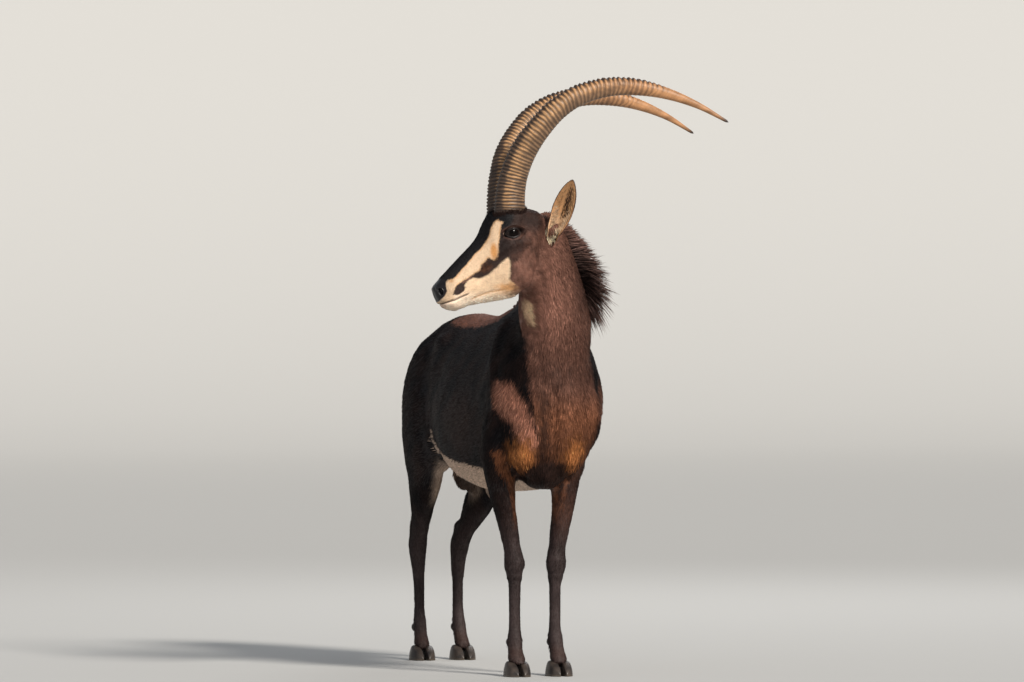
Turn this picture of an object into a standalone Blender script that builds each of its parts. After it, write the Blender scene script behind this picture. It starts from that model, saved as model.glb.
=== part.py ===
# Sable antelope bull, standing, head turned to its right. Metres, +Z up, the body faces -Y.
# The flesh is lofted and fused into one body, then parted by thin cuts into named nodes.
import math

import bpy
import bmesh
import numpy as np
from mathutils import Matrix, Vector

# ---------------------------------------------------------------- driving sizes
GAP = 0.0003            # clearance between touching nodes
WELD = 0.00002          # points closer than this are one
VOXEL = 0.0075          # fineness at which the flesh is fused
BODY_TRIANGLES = 3150   # faces kept on the fused flesh
TAIL_CUT = 1.378        # how far back the tail parts from the rump
LEG_CUT = 0.548         # height at which the legs part from the trunk
HOOF_LENGTH = 0.098
HOOF_WIDTH = 0.043
HOOF_HEIGHT = 0.052
HEAD_POLL = Vector((-0.085, -0.075, 1.560))   # top of the head, behind the horns
HEAD_TURN = math.radians(-90.0)               # the muzzle points to the animal's right
HEAD_ROLL = math.radians(4.5)                 # its left side a little higher
MANE_HALF = 0.026       # half thickness of the mane
EAR_HALF_WIDTH = 0.040
EAR_WALL = 0.005        # half its thickness at the base
EYE_HALF = (0.0250, 0.0160, 0.0185)   # its half length, depth and height in the lids
HORN_RINGS = 24
HORN_SIDES = 8

COAT = (0.035, 0.020, 0.013)
WARM_COAT = (0.070, 0.030, 0.014)
HORN_COLOUR = (0.130, 0.090, 0.055)
HOOF_COLOUR = (0.020, 0.018, 0.017)
EYE_COLOUR = (0.010, 0.006, 0.004)

# ---------------------------------------------------------------- station tables
# trunk: along y, spine x, top z, bottom z, half width, drop of the widest point, roundness above
TRUNK = [
    (-0.030, -0.008, 1.000, 0.760, 0.066, -0.10, 2.0),
    (0.010, -0.002, 1.090, 0.690, 0.116, -0.15, 2.0),
    (0.080, 0.008, 1.190, 0.652, 0.160, -0.15, 2.0),
    (0.180, 0.024, 1.262, 0.636, 0.186, -0.10, 1.8),
    (0.310, 0.052, 1.306, 0.628, 0.200, -0.10, 1.4),
    (0.430, 0.066, 1.292, 0.618, 0.222, -0.18, 1.4),
    (0.580, 0.066, 1.240, 0.604, 0.248, -0.22, 1.6),
    (0.760, 0.056, 1.208, 0.600, 0.254, -0.22, 1.8),
    (0.900, 0.042, 1.206, 0.632, 0.228, -0.12, 1.8),
    (1.020, 0.024, 1.214, 0.690, 0.190, 0.05, 1.8),
    (1.140, 0.006, 1.200, 0.770, 0.165, 0.10, 1.8),
    (1.250, -0.014, 1.150, 0.840, 0.140, 0.05, 1.9),
    (1.330, -0.028, 1.080, 0.900, 0.095, 0.00, 2.0),
    (1.366, -0.036, 1.030, 0.950, 0.045, 0.00, 2.0),
]
# neck: centre x, y, z, half width, half depth towards the crest, towards the throat, turn
NECK = [
    (0.040, 0.330, 1.020, 0.130, 0.230, 0.240, 0),
    (0.046, 0.235, 1.080, 0.142, 0.225, 0.225, 6),
    (0.046, 0.140, 1.150, 0.128, 0.190, 0.180, 18),
    (0.018, 0.060, 1.225, 0.112, 0.150, 0.142, 42),
    (-0.010, 0.005, 1.305, 0.098, 0.122, 0.112, 62),
    (-0.038, -0.030, 1.385, 0.088, 0.106, 0.102, 78),
    (-0.068, -0.052, 1.465, 0.078, 0.096, 0.100, 88),
    (-0.098, -0.066, 1.520, 0.060, 0.070, 0.075, 90),
]
# head, in its own frame: upper forward, upper z, lower forward, lower z, half width, low
HEAD = [
    (0.362, -0.262, 0.352, -0.290, 0.020, 0.0),
    (0.350, -0.246, 0.338, -0.312, 0.036, 0.0),
    (0.332, -0.226, 0.312, -0.330, 0.042, -0.1),
    (0.300, -0.196, 0.280, -0.336, 0.045, -0.1),
    (0.256, -0.150, 0.240, -0.324, 0.048, -0.1),
    (0.214, -0.108, 0.190, -0.312, 0.053, 0.0),
    (0.188, -0.070, 0.146, -0.306, 0.063, 0.1),
    (0.172, -0.032, 0.104, -0.298, 0.076, 0.2),
    (0.148, -0.004, 0.060, -0.282, 0.083, 0.25),
    (0.104, 0.008, 0.026, -0.236, 0.084, 0.25),
    (0.050, 0.008, 0.002, -0.180, 0.078, 0.2),
    (-0.004, -0.004, -0.014, -0.120, 0.066, 0.1),
    (-0.030, -0.026, -0.030, -0.090, 0.040, 0.0),
]
# horn, left one, in the head's frame: forward, z, sideways, thickness fore and aft
HORN = [
    (0.099, -0.024, 0.042, 0.102),
    (0.098, 0.002, 0.044, 0.104),
    (0.095, 0.060, 0.054, 0.098),
    (0.084, 0.120, 0.070, 0.092),
    (0.059, 0.190, 0.098, 0.088),
    (0.016, 0.258, 0.126, 0.081),
    (-0.045, 0.324, 0.148, 0.075),
    (-0.125, 0.371, 0.158, 0.068),
    (-0.225, 0.395, 0.164, 0.062),
    (-0.324, 0.393, 0.168, 0.054),
    (-0.423, 0.371, 0.174, 0.038),
    (-0.523, 0.332, 0.182, 0.022),
    (-0.622, 0.276, 0.194, 0.008),
]
# fore leg, left: x, y, z, half width, half depth forwards, backwards
FORE_LEG = [
    (0.100, 0.205, 0.960, 0.015, 0.030, 0.030),
    (0.106, 0.200, 0.880, 0.052, 0.090, 0.105),
    (0.116, 0.195, 0.760, 0.064, 0.090, 0.105),
    (0.113, 0.185, 0.660, 0.052, 0.068, 0.082),
    (0.103, 0.175, 0.570, 0.041, 0.052, 0.056),
    (0.087, 0.168, 0.480, 0.033, 0.038, 0.040),
    (0.077, 0.164, 0.420, 0.031, 0.033, 0.034),
    (0.073, 0.161, 0.385, 0.036, 0.037, 0.036),
    (0.072, 0.160, 0.350, 0.034, 0.034, 0.036),
    (0.071, 0.162, 0.310, 0.025, 0.024, 0.028),
    (0.070, 0.164, 0.220, 0.022, 0.020, 0.026),
    (0.070, 0.163, 0.150, 0.024, 0.022, 0.028),
    (0.071, 0.158, 0.120, 0.029, 0.027, 0.030),
    (0.072, 0.146, 0.085, 0.027, 0.024, 0.026),
    (0.073, 0.132, 0.055, 0.033, 0.032, 0.032),
    (0.073, 0.124, 0.030, 0.031, 0.034, 0.034),
]
# hind leg, left: x, y, z, half width, half depth forwards, backwards
HIND_LEG = [
    (0.070, 1.110, 1.040, 0.015, 0.030, 0.030),
    (0.082, 1.105, 0.960, 0.074, 0.130, 0.140),
    (0.096, 1.085, 0.850, 0.084, 0.160, 0.165),
    (0.106, 1.060, 0.740, 0.074, 0.138, 0.155),
    (0.112, 1.056, 0.645, 0.060, 0.104, 0.118),
    (0.106, 1.112, 0.565, 0.046, 0.074, 0.080),
    (0.092, 1.178, 0.498, 0.034, 0.050, 0.052),
    (0.082, 1.240, 0.448, 0.031, 0.042, 0.048),
    (0.076, 1.276, 0.400, 0.032, 0.042, 0.048),
    (0.073, 1.286, 0.348, 0.029, 0.032, 0.038),
    (0.071, 1.288, 0.290, 0.023, 0.025, 0.028),
    (0.070, 1.284, 0.200, 0.021, 0.022, 0.025),
    (0.070, 1.276, 0.150, 0.023, 0.023, 0.027),
    (0.071, 1.268, 0.118, 0.027, 0.026, 0.029),
    (0.072, 1.254, 0.085, 0.025, 0.023, 0.026),
    (0.073, 1.240, 0.055, 0.031, 0.031, 0.031),
    (0.073, 1.232, 0.030, 0.029, 0.032, 0.033),
]
# mane: how far along its root, length of the hair, then the way it points
MANE = [
    (0.00, 0.012, 0.70, 0.00, 0.60),
    (0.18, 0.036, 0.88, 0.00, 0.25),
    (0.33, 0.082, 0.95, 0.05, 0.02),
    (0.45, 0.116, 0.92, 0.08, -0.25),
    (0.55, 0.146, 0.74, 0.08, -0.62),
    (0.62, 0.178, 0.56, 0.04, -0.90),
    (0.69, 0.150, 0.56, 0.22, -0.72),
    (0.78, 0.108, 0.56, 0.40, -0.28),
    (0.87, 0.072, 0.44, 0.42, 0.32),
    (0.94, 0.040, 0.24, 0.42, 0.70),
    (1.00, 0.010, 0.05, 0.45, 0.85),
]
FORE_MIDDLE = -0.014    # x half way between the fore legs
HIND_MIDDLE = -0.040    # x half way between the hind legs


# ---------------------------------------------------------------- tools
def clear_scene():
    for thing in list(bpy.data.objects):
        bpy.data.objects.remove(thing)


def paint(obj, name, colour, roughness):
    """Give an object a plain Principled material."""
    mat = bpy.data.materials.get(name) or bpy.data.materials.new(name)
    mat.use_nodes = True
    shader = mat.node_tree.nodes["Principled BSDF"]
    shader.inputs["Base Color"].default_value = (*colour, 1.0)
    shader.inputs["Roughness"].default_value = roughness
    obj.data.materials.clear()
    obj.data.materials.append(mat)


def add(name, verts, faces):
    mesh = bpy.data.meshes.new(name)
    mesh.from_pydata([tuple(v) for v in verts], [], faces)
    mesh.update()
    obj = bpy.data.objects.new(name, mesh)
    bpy.context.scene.collection.objects.link(obj)
    return obj


def curve_through(table, steps):
    """Catmull-Rom curve through the rows of a table, a few steps to each span."""
    rows = np.array(table, float)
    ends = np.vstack([2 * rows[0] - rows[1], rows, 2 * rows[-1] - rows[-2]])
    out = []
    for i in range(len(rows) - 1):
        a, b, c, d = ends[i:i + 4]
        for t in np.linspace(0, 1, steps, endpoint=False):
            out.append(0.5 * (2 * b + (c - a) * t + (2 * a - 5 * b + 4 * c - d) * t * t
                              + (3 * b - a - 3 * c + d) * t ** 3))
    out.append(rows[-1])
    return np.array(out)


def loft(name, rings, leaf=False):
    """A closed skin over a row of rings that all have the same number of points.

    The end rings close onto a middle point or, on a leaf, from one wall to the other.
    """
    rings = np.array(rings)
    count, sides = rings.shape[:2]
    last = (count - 1) * sides
    verts = list(rings.reshape(-1, 3))
    faces = []
    for k in range(sides):
        nxt = (k + 1) % sides
        for i in range(count - 1):
            faces.append((i * sides + k, i * sides + nxt, (i + 1) * sides + nxt, (i + 1) * sides + k))
    if leaf:
        for k in range(sides // 2 - 1):
            far = sides - 1 - k
            faces.append((k + 1, k, far, far - 1))
            faces.append((last + k, last + k + 1, last + far - 1, last + far))
    else:
        verts += [rings[0].mean(axis=0), rings[-1].mean(axis=0)]
        for k in range(sides):
            nxt = (k + 1) % sides
            faces.append((nxt, k, count * sides))
            faces.append((last + k, last + nxt, count * sides + 1))
    obj = add(name, verts, faces)
    turn_outward(obj)
    return obj


def turn_outward(obj):
    bm = bmesh.new()
    bm.from_mesh(obj.data)
    bmesh.ops.triangulate(bm, faces=bm.faces)
    bmesh.ops.recalc_face_normals(bm, faces=bm.faces)
    if bm.calc_volume(signed=True) < 0:
        bmesh.ops.reverse_faces(bm, faces=bm.faces)
    bm.to_mesh(obj.data)
    bm.free()


def oval(centre, side, up, half_width, above, below, low=0.0, sides=28, power=2.0, crown=None):
    """Oval ring: half_width each way along side, above and below along up."""
    t = np.linspace(0, 2 * math.pi, sides, endpoint=False)
    c, s = np.cos(t), np.sin(t)
    power = np.where(s > 0, crown or power, power)
    c = np.sign(c) * np.abs(c) ** (2 / power)
    s = np.sign(s) * np.abs(s) ** (2 / power)
    height = np.where(s > 0, above, below) * (s + low * (1 - s * s))
    return np.array(centre) + np.outer(half_width * c, side) + np.outer(height, up)


def tube(name, table, steps=3, sides=24):
    """A limb: rings square to a path; rows are x, y, z, half width, forwards, backwards."""
    rows = curve_through(table, steps)
    path = rows[:, :3]
    along = np.gradient(path, axis=0)
    rings = []
    for row, way in zip(rows, along):
        way = way / np.linalg.norm(way)
        side = np.array((1.0, 0.0, 0.0)) - way[0] * way
        side /= np.linalg.norm(side)
        back = np.cross(way, side)
        if back[1] < 0:
            back = -back
        rings.append(oval(row[:3], side, back, row[3], row[5], row[4], sides=sides))
    return loft(name, rings)


def blob(name, centre, radii, turn=(0.0, 0.0, 0.0), sides=20):
    """A stretched ball, for one mass of muscle or bone; turn is in degrees."""
    bm = bmesh.new()
    bmesh.ops.create_uvsphere(bm, u_segments=sides, v_segments=max(5, sides * 2 // 3), radius=1.0)
    spin = Matrix.Rotation(math.radians(turn[2]), 4, "Z") @ Matrix.Rotation(
        math.radians(turn[1]), 4, "Y") @ Matrix.Rotation(math.radians(turn[0]), 4, "X")
    place = Matrix.Translation(Vector(centre)) @ spin @ Matrix.Diagonal((*radii, 1.0))
    bmesh.ops.transform(bm, matrix=place, verts=bm.verts)
    mesh = bpy.data.meshes.new(name)
    bm.to_mesh(mesh)
    bm.free()
    obj = bpy.data.objects.new(name, mesh)
    bpy.context.scene.collection.objects.link(obj)
    return obj


def join(name, pieces):
    """One object that holds every piece's mesh."""
    bm = bmesh.new()
    for piece in pieces:
        bm.from_mesh(piece.data)
    mesh = bpy.data.meshes.new(name)
    bm.to_mesh(mesh)
    bm.free()
    for piece in pieces:
        bpy.data.objects.remove(piece)
    obj = bpy.data.objects.new(name, mesh)
    bpy.context.scene.collection.objects.link(obj)
    return obj


def settle(obj):
    """Make the result of the object's modifiers its own mesh."""
    bpy.context.view_layer.update()
    graph = bpy.context.evaluated_depsgraph_get()
    mesh = bpy.data.meshes.new_from_object(obj.evaluated_get(graph))
    obj.modifiers.clear()
    obj.data = mesh


def cut(obj, cutter, operation, solver="EXACT"):
    """Boolean of two meshes, made at once."""
    step = obj.modifiers.new("cut", "BOOLEAN")
    step.operation = operation
    step.solver = solver
    step.object = cutter
    settle(obj)


def biggest_body(obj):
    """Weld and drop the slivers that a cut can leave."""
    bm = bmesh.new()
    bm.from_mesh(obj.data)
    bmesh.ops.triangulate(bm, faces=bm.faces)
    bmesh.ops.remove_doubles(bm, verts=bm.verts, dist=WELD)
    bmesh.ops.dissolve_degenerate(bm, edges=bm.edges, dist=WELD)
    bmesh.ops.triangulate(bm, faces=bm.faces)
    group = {}
    bodies = []
    for start in bm.faces:
        if start in group:
            continue
        group[start] = len(bodies)
        queue = [start]
        members = []
        while queue:
            face = queue.pop()
            members.append(face)
            for edge in face.edges:
                for other in edge.link_faces:
                    if other not in group:
                        group[other] = len(bodies)
                        queue.append(other)
        bodies.append(members)
    bodies.sort(key=len)
    bmesh.ops.delete(bm, geom=[f for body in bodies[:-1] for f in body], context="FACES")
    loose = [v for v in bm.verts if not v.link_faces]
    bmesh.ops.delete(bm, geom=loose, context="VERTS")
    bm.to_mesh(obj.data)
    bm.free()


def copy_of(obj, name):
    twin = bpy.data.objects.new(name, obj.data.copy())
    bpy.context.scene.collection.objects.link(twin)
    return twin


def swell(obj, amount):
    """Push every point out along its normal, for a cutter that leaves a gap."""
    mesh = obj.data
    mesh.update()
    normals = [v.normal.copy() for v in mesh.vertices]
    for v, n in zip(mesh.vertices, normals):
        v.co += n * amount


def box_from_plane(name, point, normal, half_side, depth, offset=0.0):
    """A block that starts at a plane and reaches along its normal."""
    normal = Vector(normal).normalized()
    bm = bmesh.new()
    bmesh.ops.create_cube(bm, size=1.0)
    spin = normal.to_track_quat("Z", "Y").to_matrix().to_4x4()
    place = Matrix.Translation(Vector(point) + normal * (offset + depth / 2)) @ spin @ Matrix.Diagonal(
        (2 * half_side, 2 * half_side, depth, 1.0))
    bmesh.ops.transform(bm, matrix=place, verts=bm.verts)
    mesh = bpy.data.meshes.new(name)
    bm.to_mesh(mesh)
    bm.free()
    obj = bpy.data.objects.new(name, mesh)
    bpy.context.scene.collection.objects.link(obj)
    return obj


def part_off(obj, name, point, normal, half_side, depth):
    """Part obj at a plane: what lies beyond it becomes a new object, across a thin gap."""
    beyond = copy_of(obj, name)
    keep = box_from_plane("keep", point, normal, half_side, depth, GAP / 2)
    cut(beyond, keep, "INTERSECT")
    away = box_from_plane("away", point, normal, half_side + GAP, depth + GAP, -GAP / 2)
    cut(obj, away, "DIFFERENCE")
    bpy.data.objects.remove(keep)
    bpy.data.objects.remove(away)
    return beyond


def make_room(obj, solid):
    """Cut a seat for a solid that grows out of obj, with a thin gap all round it."""
    cutter = copy_of(solid, "cutter")
    swell(cutter, GAP)
    cut(obj, cutter, "DIFFERENCE", "MANIFOLD")
    bpy.data.objects.remove(cutter)
    biggest_body(obj)


def loose_parts(obj):
    """Split an object into its separate bodies."""
    bm = bmesh.new()
    bm.from_mesh(obj.data)
    bm.verts.ensure_lookup_table()
    group = {}
    bodies = []
    for start in bm.verts:
        if start.index in group:
            continue
        queue = [start]
        group[start.index] = len(bodies)
        members = []
        while queue:
            v = queue.pop()
            members.append(v.index)
            for e in v.link_edges:
                w = e.other_vert(v)
                if w.index not in group:
                    group[w.index] = len(bodies)
                    queue.append(w)
        bodies.append(members)
    out = []
    coords = [v.co.copy() for v in bm.verts]
    faces = [[v.index for v in f.verts] for f in bm.faces]
    bm.free()
    for number, members in enumerate(bodies):
        index = {old: new for new, old in enumerate(members)}
        own = [[index[i] for i in f] for f in faces if group[f[0]] == number]
        out.append(add("body", [coords[i] for i in members], own))
    bpy.data.objects.remove(obj)
    return out


def head_place(forward, height, left=0.0):
    """A point given in the head's frame (forward, up, to its left) in the animal's frame."""
    side = left * math.cos(HEAD_ROLL) - height * math.sin(HEAD_ROLL)
    up = height * math.cos(HEAD_ROLL) + left * math.sin(HEAD_ROLL)
    ahead = Vector((math.sin(HEAD_TURN), -math.cos(HEAD_TURN), 0.0))
    left_way = Vector((math.cos(HEAD_TURN), math.sin(HEAD_TURN), 0.0))
    return HEAD_POLL + ahead * forward + left_way * side + Vector((0.0, 0.0, up))


# ---------------------------------------------------------------- flesh
def trunk_flesh():
    rows = curve_through(TRUNK, 3)
    rings = []
    bend = np.gradient(rows[:, 1]) / np.gradient(rows[:, 0])
    for (y, x, top, bottom, half, low, crown), lean in zip(rows, bend):
        side = np.array((1.0, -lean, 0.0)) / math.hypot(1.0, lean)
        middle = (top + bottom) / 2
        rings.append(oval((x, y, middle), side, (0, 0, 1), half, top - middle, middle - bottom, low, 32,
                          crown=crown))
    return loft("trunk_flesh", rings)


def neck_rings():
    """Each ring's row, centre, sideways and crestward directions, turning as the head does."""
    rows = curve_through(NECK, 3)
    out = []
    for row, way in zip(rows, np.gradient(rows[:, :3], axis=0)):
        way = way / np.linalg.norm(way)
        turn = math.radians(-row[6])
        side = np.array((math.cos(turn), math.sin(turn), 0.0))
        side -= way * side.dot(way)
        side /= np.linalg.norm(side)
        out.append((row, row[:3], side, np.cross(way, side)))
    return out


def neck_flesh():
    return loft("neck_flesh", [oval(centre, side, crest, row[3], row[4], row[5], sides=28)
                               for row, centre, side, crest in neck_rings()])


def head_flesh():
    rings = []
    for upper_f, upper_z, lower_f, lower_z, half, low in curve_through(HEAD, 3):
        top = np.array(head_place(upper_f, upper_z))
        bottom = np.array(head_place(lower_f, lower_z))
        middle = (top + bottom) / 2
        reach = np.linalg.norm(top - bottom) / 2
        side = np.array(head_place(0, 0, 1) - head_place(0, 0, 0))
        rings.append(oval(middle, side, (top - bottom) / (2 * reach), half, reach, reach, low, 28, 2.3))
    return loft("head_flesh", rings)


def head_masses():
    """Brow bones, cheek muscles and jaw angles, which round the lofted head out."""
    masses = []
    for side in (1, -1):
        brow = head_place(0.096, -0.054, 0.062 * side)
        masses.append(blob("brow", brow, (0.040, 0.028, 0.034)))
        cheek = head_place(0.082, -0.190, 0.040 * side)
        masses.append(blob("cheek", cheek, (0.062, 0.034, 0.085), (0, -28, 0)))
        lip = head_place(0.306, -0.264, 0.022 * side)
        masses.append(blob("lip", lip, (0.048, 0.028, 0.036), (0, -50, 0)))
        nostril = head_place(0.334, -0.262, 0.022 * side)
        masses.append(blob("nostril", nostril, (0.022, 0.018, 0.024)))
        pedicle = head_place(0.096, -0.034, 0.045 * side)
        masses.append(blob("pedicle", pedicle, (0.062, 0.048, 0.036)))
        orbit = head_place(0.100, -0.078, 0.066 * side)
        masses.append(blob("orbit", orbit, (0.044, 0.025, 0.034)))
    return masses


def body_masses():
    """Shoulders, breast, haunches, stifles and hocks."""
    masses = []
    for side in (1, -1):
        fore = FORE_MIDDLE
        hind = HIND_MIDDLE
        masses.append(blob("shoulder_blade", (fore + 0.048 + 0.122 * side, 0.235, 1.010),
                           (0.067, 0.115, 0.215), (-16, -10 * side, 0)))
        masses.append(blob("shoulder_point", (fore + 0.042 + 0.112 * side, 0.130, 0.870),
                           (0.064, 0.112, 0.130), (20, 0, 0)))
        masses.append(blob("upper_arm", (fore + 0.018 + 0.116 * side, 0.225, 0.745),
                           (0.060, 0.106, 0.110), (-25, 0, 0)))
        masses.append(blob("breast", (fore + 0.008 + 0.058 * side, 0.066, 0.790), (0.066, 0.085, 0.125)))
        masses.append(blob("haunch", (hind + 0.024 + 0.084 * side, 1.140, 0.925),
                           (0.102, 0.190, 0.225), (14, -6 * side, 0)))
        masses.append(blob("hip", (hind + 0.058 + 0.096 * side, 0.990, 1.098), (0.060, 0.085, 0.052)))
        masses.append(blob("stifle", (hind + 0.030 + 0.114 * side, 0.960, 0.760),
                           (0.060, 0.090, 0.105), (-20, 0, 0)))
        masses.append(blob("hock_point", (hind + 0.080 * side, 1.306, 0.452),
                           (0.020, 0.026, 0.044), (26, 0, 0)))
        masses.append(blob("heel_cord", (hind + 0.090 * side, 1.236, 0.545),
                           (0.015, 0.026, 0.112), (39, 0, 0)))
        masses.append(blob("elbow", (fore + 0.114 * side, 0.262, 0.690), (0.034, 0.040, 0.050)))
    masses.append(blob("brisket", (0.000, 0.120, 0.700), (0.085, 0.120, 0.080)))
    masses.append(blob("sheath", (0.040, 0.830, 0.606), (0.034, 0.110, 0.038), (6, 0, 0)))
    masses.append(blob("scrotum", (-0.006, 1.070, 0.660), (0.046, 0.040, 0.068)))
    return masses


def legs():
    limbs = []
    for table, middle in ((FORE_LEG, FORE_MIDDLE), (HIND_LEG, HIND_MIDDLE)):
        for side in (1, -1):
            own = [(middle + side * x, y, z, w, f, b) for x, y, z, w, f, b in table]
            limbs.append(tube("leg", own, 3, 20))
    return limbs


def fuse_body():
    """Fuse every mass of flesh, round it off and thin its faces, finest on the head."""
    body = join("body", [trunk_flesh(), neck_flesh(), head_flesh(), *head_masses(),
                         *body_masses(), *legs(), tail_flesh()])
    fuse = body.modifiers.new("fuse", "REMESH")
    fuse.mode = "VOXEL"
    fuse.voxel_size = VOXEL
    settle(body)
    ease = body.modifiers.new("ease", "SMOOTH")
    ease.factor = 0.5
    ease.iterations = 9
    settle(body)
    fine = body.vertex_groups.new(name="fine")
    centre = head_place(0.17, -0.16)
    for v in body.data.vertices:
        near = 1.0 - min(1.0, max(0.0, ((v.co - centre).length - 0.20) / 0.10))
        leg = 0.25 if v.co.z < LEG_CUT else 0.0
        fine.add([v.index], 1.0 - 0.93 * max(near, leg), "REPLACE")
    thin = body.modifiers.new("thin", "DECIMATE")
    thin.vertex_group = "fine"
    thin.vertex_group_factor = 0.003
    triangles = sum(len(p.vertices) - 2 for p in body.data.polygons)
    thin.ratio = BODY_TRIANGLES / triangles
    settle(body)
    return body


def tail_flesh():
    rows = [
        (-0.028, 1.300, 1.100, 0.040, 0.036, 0.036),
        (-0.034, 1.362, 1.070, 0.034, 0.030, 0.030),
        (-0.038, 1.400, 1.000, 0.028, 0.024, 0.024),
        (-0.041, 1.412, 0.900, 0.022, 0.019, 0.019),
        (-0.043, 1.414, 0.780, 0.018, 0.016, 0.016),
        (-0.045, 1.410, 0.690, 0.016, 0.015, 0.015),
    ]
    return tube("tail_flesh", rows, 3, 12)


# ---------------------------------------------------------------- horn, hoof, ear, eye, hair
def horn(name, side):
    """A ringed, backward-sweeping horn: ridges up to four fifths, then a smooth point."""
    rows = curve_through(HORN, 12)
    steps = np.r_[0, np.cumsum(np.linalg.norm(np.diff(rows[:, :3], axis=0), axis=1))]
    steps /= steps[-1]
    ringed = 0.80
    stations = [0.0]
    for k in range(HORN_RINGS):
        start = 0.055 + (ringed - 0.055) * (k / HORN_RINGS) ** 0.92
        end = 0.055 + (ringed - 0.055) * ((k + 1) / HORN_RINGS) ** 0.92
        stations += [start, start + 0.62 * (end - start)]
    stations += [ringed, 0.86, 0.92, 0.97, 0.995]
    rings = []
    path = np.array([[np.interp(t, steps, rows[:, k]) for k in range(4)] for t in stations])
    for i, t in enumerate(stations):
        ahead, behind = path[min(i + 1, len(path) - 1)], path[max(i - 1, 0)]
        here = head_place(path[i, 0], path[i, 1], side * path[i, 2])
        way = (head_place(ahead[0], ahead[1], side * ahead[2])
               - head_place(behind[0], behind[1], side * behind[2])).normalized()
        left = (head_place(0, 0, 1) - head_place(0, 0, 0))
        left = (left - way * left.dot(way)).normalized()
        front = left.cross(way)
        ridge = 1.0 if (i % 2 == 0 and 0 < i <= 2 * HORN_RINGS) else (0.93 if 0 < i <= 2 * HORN_RINGS else 0.98)
        thick = path[i, 3] / 2 * ridge
        rings.append(oval(here, left, front, thick * (0.72 + 0.18 * t), thick, thick, sides=HORN_SIDES))
    return loft(name, rings)


def claw(name, x, y, side, outward):
    """One half of a cloven hoof: flat below, rounded to a point in front."""
    rings = []
    for k in range(7):
        t = k / 6
        width = HOOF_WIDTH * (0.80 + 0.34 * math.sin(math.pi * (0.15 + 0.62 * t))) * (1 - 0.62 * t ** 3) / 1.14
        top = HOOF_HEIGHT * (0.74 + 0.30 * math.sin(math.pi * min(1.0, 0.2 + 0.75 * t))) * (1 - 0.66 * t ** 2.2)
        ahead = y + 0.040 - HOOF_LENGTH * t
        inner = x + side * outward * 0.0022 + side * outward * 0.004 * t
        outer = inner + side * outward * width
        slope = 0.16 * width * side * outward
        points = []
        base = [(inner, 0.0), (outer, 0.0), (outer - slope * 0.5, top * 0.55),
                (outer - slope * 1.6, top * 0.92), ((inner + outer) / 2 - slope, top),
                (inner + slope * 0.6, top * 0.92)]
        for px, pz in base:
            points.append((px, ahead - 0.10 * pz * (1 - t), pz))
        rings.append(points)
    return loft(name, rings)


def hooves():
    out = []
    for where, table, middle in (("front", FORE_LEG, FORE_MIDDLE), ("hind", HIND_LEG, HIND_MIDDLE)):
        foot = table[-1]
        for hand, side in (("left", 1), ("right", -1)):
            for lane, outward in (("outer", 1), ("inner", -1)):
                name = "hoof_%s_%s_%s" % (where, hand, lane)
                out.append(claw(name, middle + side * foot[0], foot[1], side, outward))
            for lane, outward in (("outer", 1), ("inner", -1)):
                name = "dewclaw_%s_%s_%s" % (where, hand, lane)
                knuckle = table[-4]
                centre = (middle + side * (knuckle[0] + outward * 0.0150), knuckle[1] + 0.022, 0.108)
                out.append(blob(name, centre, (0.0115, 0.017, 0.021), (-38, 0, 0), sides=6))
    return out


def ear(name, base, tip, open_way):
    """A leaf-shaped cup: a thick curved blade, most curled at its base, pointed at its tip."""
    base, tip = Vector(base), Vector(tip)
    way = (tip - base).normalized()
    open_way = (open_way - way * open_way.dot(way)).normalized()
    across = way.cross(open_way)
    rings = []
    for t in np.linspace(0, 1, 8):
        half = EAR_HALF_WIDTH * (0.50 + 0.50 * math.sin(math.pi * min(0.5, 0.9 * t))) * (1 - t ** 3.2) ** 0.8
        half = max(half, 0.004)
        curl = math.radians(62 - 38 * t)
        radius = half / math.sin(curl)
        wall = EAR_WALL * (1 - 0.55 * t)
        middle = base + (tip - base) * t + open_way * (radius - 0.012 * math.sin(math.pi * t))
        outer, inner = [], []
        for s in np.linspace(-1, 1, 7):
            out_way = across * math.sin(s * curl) - open_way * math.cos(s * curl)
            thin = wall * (1 - 0.50 * abs(s) ** 3)
            outer.append(middle + out_way * (radius + thin))
            inner.append(middle + out_way * (radius - thin))
        rings.append(outer + inner[::-1])
    return loft(name, rings, leaf=True)


def eye(name, side):
    return blob(name, head_place(0.096, -0.076, 0.0760 * side), EYE_HALF, sides=12)


def mane():
    """The stiff upright crest from between the ears to behind the withers."""
    stations = []
    for row, centre, _side, crest in neck_rings()[::-1]:
        if row[2] > 1.16:
            stations.append(centre + crest * row[4] * 0.95)
    for y, x, top, *_ in TRUNK:
        if 0.30 < y < 0.60:
            stations.append((x, y, top - 0.008))
    table = np.array(MANE)
    path = np.array(stations)
    rings = []
    for point, way, place in zip(path, np.gradient(path, axis=0), np.linspace(0, 1, len(path))):
        tall, *out = [np.interp(place, table[:, 0], table[:, k]) for k in range(1, 5)]
        way = way / np.linalg.norm(way)
        out = np.array(out)
        out -= way * out.dot(way) * 0.6
        out /= np.linalg.norm(out)
        half = MANE_HALF * (0.4 + 0.6 * tall / table[:, 1].max())
        rings.append(oval(point, np.cross(way, out), out, half, tall, 0.020, sides=8))
    return loft("mane", rings)


def tail_tuft():
    rows = [
        (-0.045, 1.411, 0.735, 0.020, 0.018, 0.018),
        (-0.046, 1.409, 0.660, 0.033, 0.031, 0.031),
        (-0.047, 1.406, 0.560, 0.036, 0.034, 0.034),
        (-0.048, 1.402, 0.470, 0.028, 0.026, 0.026),
        (-0.048, 1.399, 0.400, 0.012, 0.012, 0.012),
    ]
    return tube("tail_tuft", rows, 2, 8)


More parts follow.
